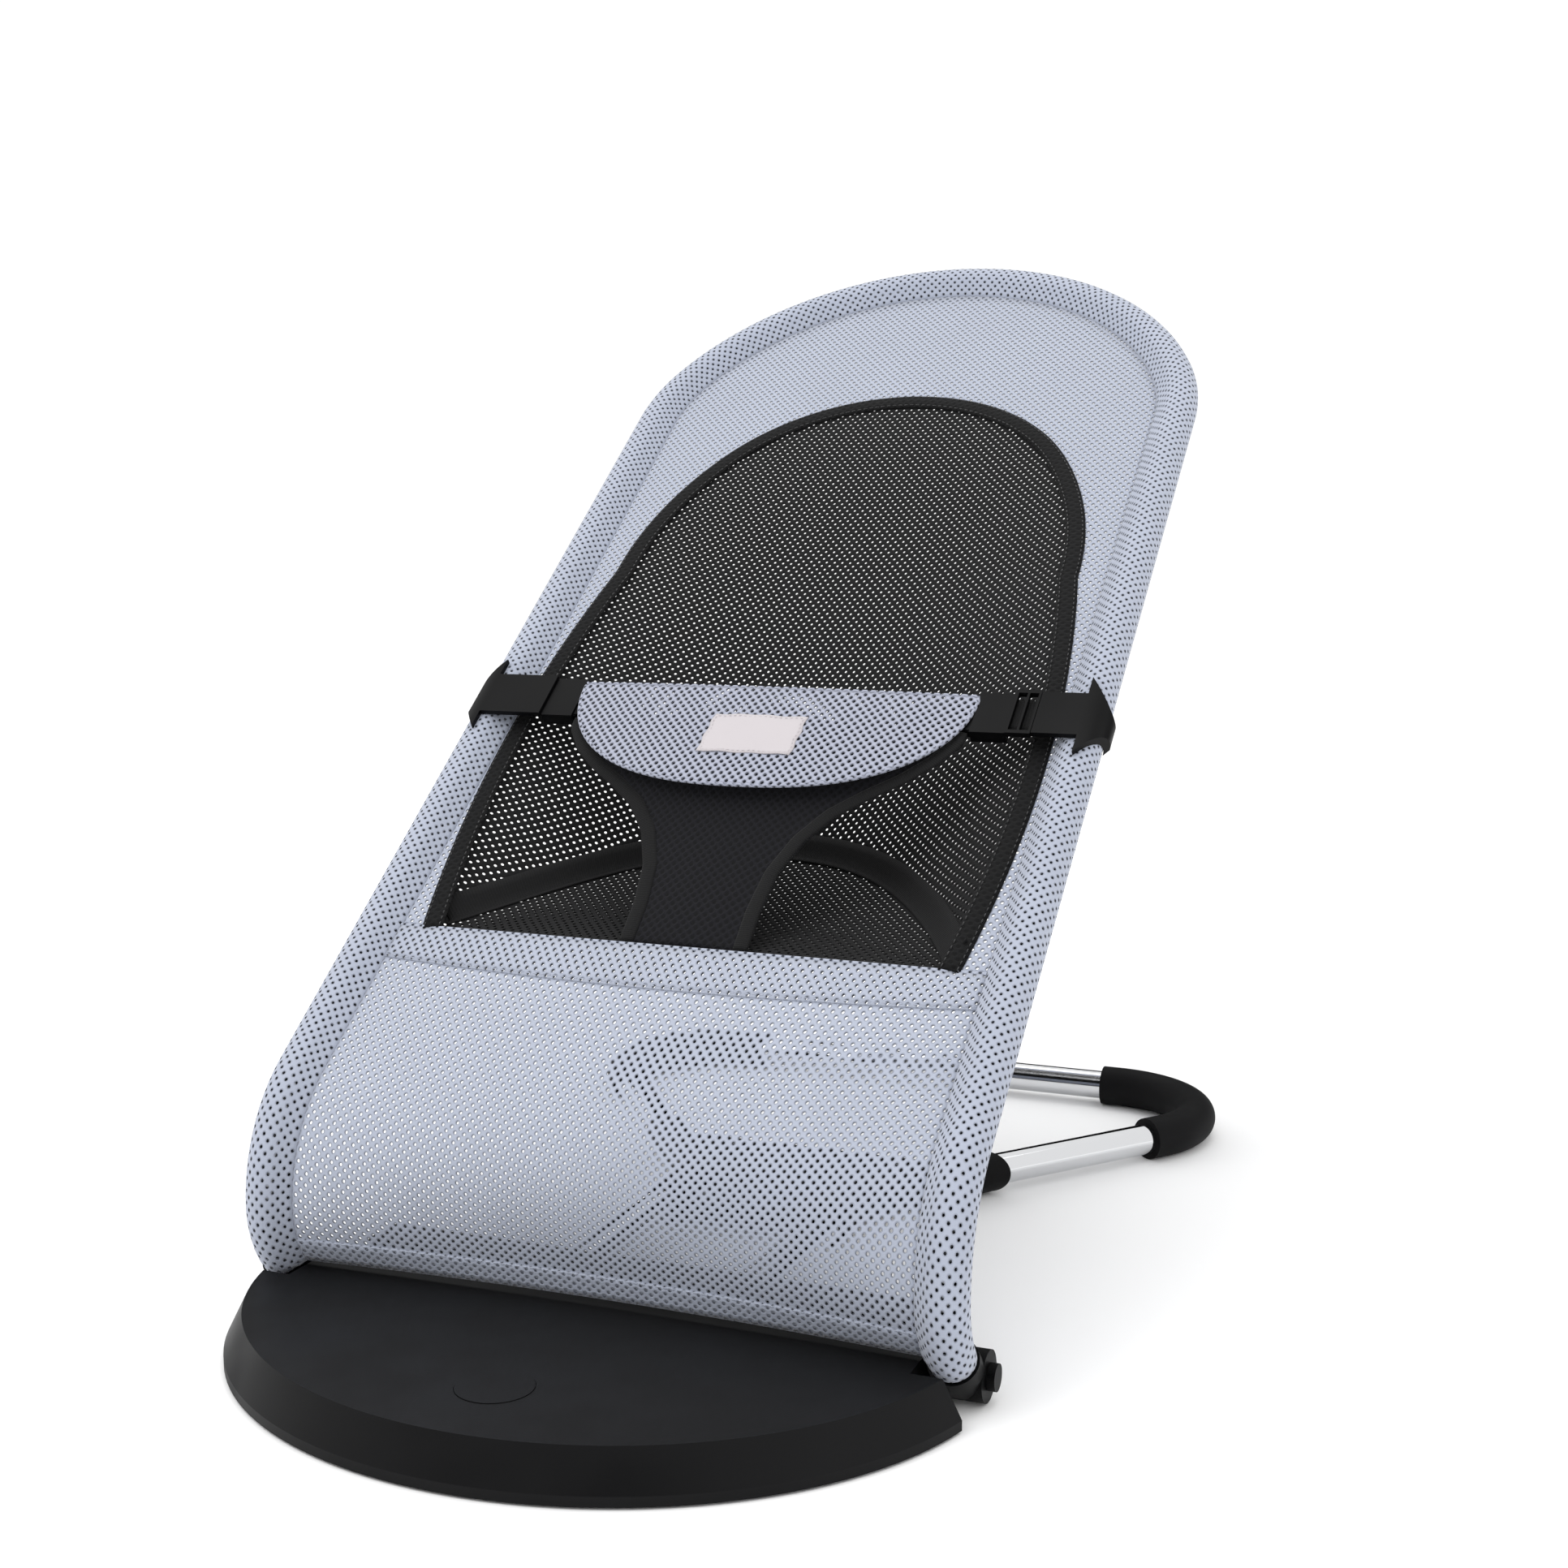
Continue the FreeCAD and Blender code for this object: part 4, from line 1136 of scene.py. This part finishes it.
class BOUNCER_OT_webbing(BouncerStep, bpy.types.Operator):
    """Makes the belt's webbing between the anchors and the buckles"""

    bl_idname = "bouncer.webbing"
    bl_label = "Webbing"

    def execute(self, context):
        webbing = finish_named("webbing")
        for way, name in ((-1, "left"), (1, "right")):
            stops = [STRAP_INNER_X + STRAP_RUN * i / 12 for i in range(13)]
            route = plane_route([(way * x, BELT_V) for x in stops], TUBE_RADIUS + STRAP_LIFT)
            strap = tape("webbing_strap_" + name, route, BELT_WIDTH - 4, 0.0, 0.15, webbing, steps=12)
            thicken(strap, 1.3)
            on_seat(strap, "black_tape", "webbing_" + name)
        return {"FINISHED"}


class BOUNCER_OT_stage(BouncerStep, bpy.types.Operator):
    """Sets the pale floor, the soft studio light and the camera"""

    bl_idname = "bouncer.stage"
    bl_label = "Stage"

    def execute(self, context):
        scene = context.scene
        bm = bmesh.new()
        bmesh.ops.create_grid(bm, x_segments=1, y_segments=1, size=12.0)
        material, tree = fresh("Matt paper floor")
        place = node(tree, "TexCoord")["Object"]
        paper = node(tree, "TexNoise", {"Vector": place, "Scale": per_mm(30.0)})[0]
        white = scene.bouncer_colours.floor
        face = {"Factor": paper, 6: shaded(white, 0.995), 7: shaded(white, 1.0)}
        tone = node(tree, "Mix", face, data_type="RGBA")[2]
        close(material, tree, tone, 0.9, Specular_IOR_Level=0.1)
        floor = finish_mesh("studio_floor", bm, material, smooth=False)

        lamps = (
            ("key_softbox", (-1.6, -1.9, 2.6), 2.2, 32.0),
            ("fill_softbox", (2.4, -1.2, 1.8), 1.8, 8.0),
            ("top_softbox", (0.0, 0.5, 3.0), 2.6, 22.0),
        )
        for name, place, size, power in lamps:
            lamp = bpy.data.lights.new(name, "AREA")
            lamp.size = size
            lamp.energy = power
            holder = bpy.data.objects.new(name, lamp)
            holder.location = place
            aim = Vector((0, 0, 0.25)) - Vector(place)
            holder.rotation_euler = aim.to_track_quat("-Z", "Y").to_euler()
            scene.collection.objects.link(holder)

        # dark cards that only reflections see: they give the chrome and the plastic their dark bands
        black, tree = fresh("Black card")
        close(black, tree, (0.0, 0.0, 0.0, 1.0), 1.0, Specular_IOR_Level=0.0)
        for name, y, low, high in (("front_card", -3.2, 0.15, 4.0), ("back_card", 3.2, 0.15, 1.9)):
            bm = bmesh.new()
            stood = Matrix.Translation((0, y, (low + high) / 2)) @ Matrix.Rotation(math.pi / 2, 4, "X")
            spread = Matrix.Diagonal((4.0, (high - low) / 2, 1.0, 1.0))
            bmesh.ops.create_grid(bm, x_segments=1, y_segments=1, size=1.0, matrix=stood @ spread)
            card = finish_mesh(name, bm, black, smooth=False)
            card.visible_camera = False
            card.visible_diffuse = False
            card.visible_shadow = False
            card.visible_transmission = False

        world = bpy.data.worlds.new("Studio")
        scene.world = world
        world.use_nodes = True
        tree = world.node_tree
        tree.nodes.clear()
        sky = node(tree, "Background", {"Color": (1, 1, 1, 1), "Strength": 1.05})[0]
        node(tree, "OutputWorld", {"Surface": sky})
        scene.view_settings.view_transform = "Standard"

        lens = bpy.data.cameras.new("Camera")
        lens.lens = 48.1
        lens.sensor_width = 36.0
        lens.clip_end = 100.0
        camera = bpy.data.objects.new("Camera", lens)
        camera.location = (0.449, -1.0918, 0.409)
        camera.rotation_euler = (math.pi / 2 - 0.130, 0.0, 0.382)
        scene.collection.objects.link(camera)
        scene.camera = camera
        return {"FINISHED"}


STEPS = (
    BOUNCER_OT_stage,
    BOUNCER_OT_finishes,
    BOUNCER_OT_sleeve,
    BOUNCER_OT_surround,
    BOUNCER_OT_insert,
    BOUNCER_OT_binding,
    BOUNCER_OT_lower_panel,
    BOUNCER_OT_crotch,
    BOUNCER_OT_waist,
    BOUNCER_OT_webbing,
)


class BOUNCER_PT_panel(bpy.types.Panel):
    """Lists the sizes, the colours and the steps"""

    bl_label = "Bouncer seat"
    bl_idname = "BOUNCER_PT_panel"
    bl_space_type = "VIEW_3D"
    bl_region_type = "UI"
    bl_category = "Bouncer"

    def draw(self, context):
        for group in (context.scene.bouncer_mesh, context.scene.bouncer_colours):
            column = self.layout.column()
            for key in group.__annotations__:
                column.prop(group, key)
        for step in STEPS:
            self.layout.operator(step.bl_idname)


CLASSES = (BouncerMeshSizes, BouncerColours, *STEPS, BOUNCER_PT_panel)


def register():
    for entry in CLASSES:
        bpy.utils.register_class(entry)
    bpy.types.Scene.bouncer_mesh = bpy.props.PointerProperty(type=BouncerMeshSizes)
    bpy.types.Scene.bouncer_colours = bpy.props.PointerProperty(type=BouncerColours)


def unregister():
    del bpy.types.Scene.bouncer_mesh
    del bpy.types.Scene.bouncer_colours
    for entry in reversed(CLASSES):
        bpy.utils.unregister_class(entry)


def main():
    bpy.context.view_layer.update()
    register()
    for step in STEPS:
        group, name = step.bl_idname.split(".")
        getattr(getattr(bpy.ops, group), name)()


if __name__ == "__main__":
    main()
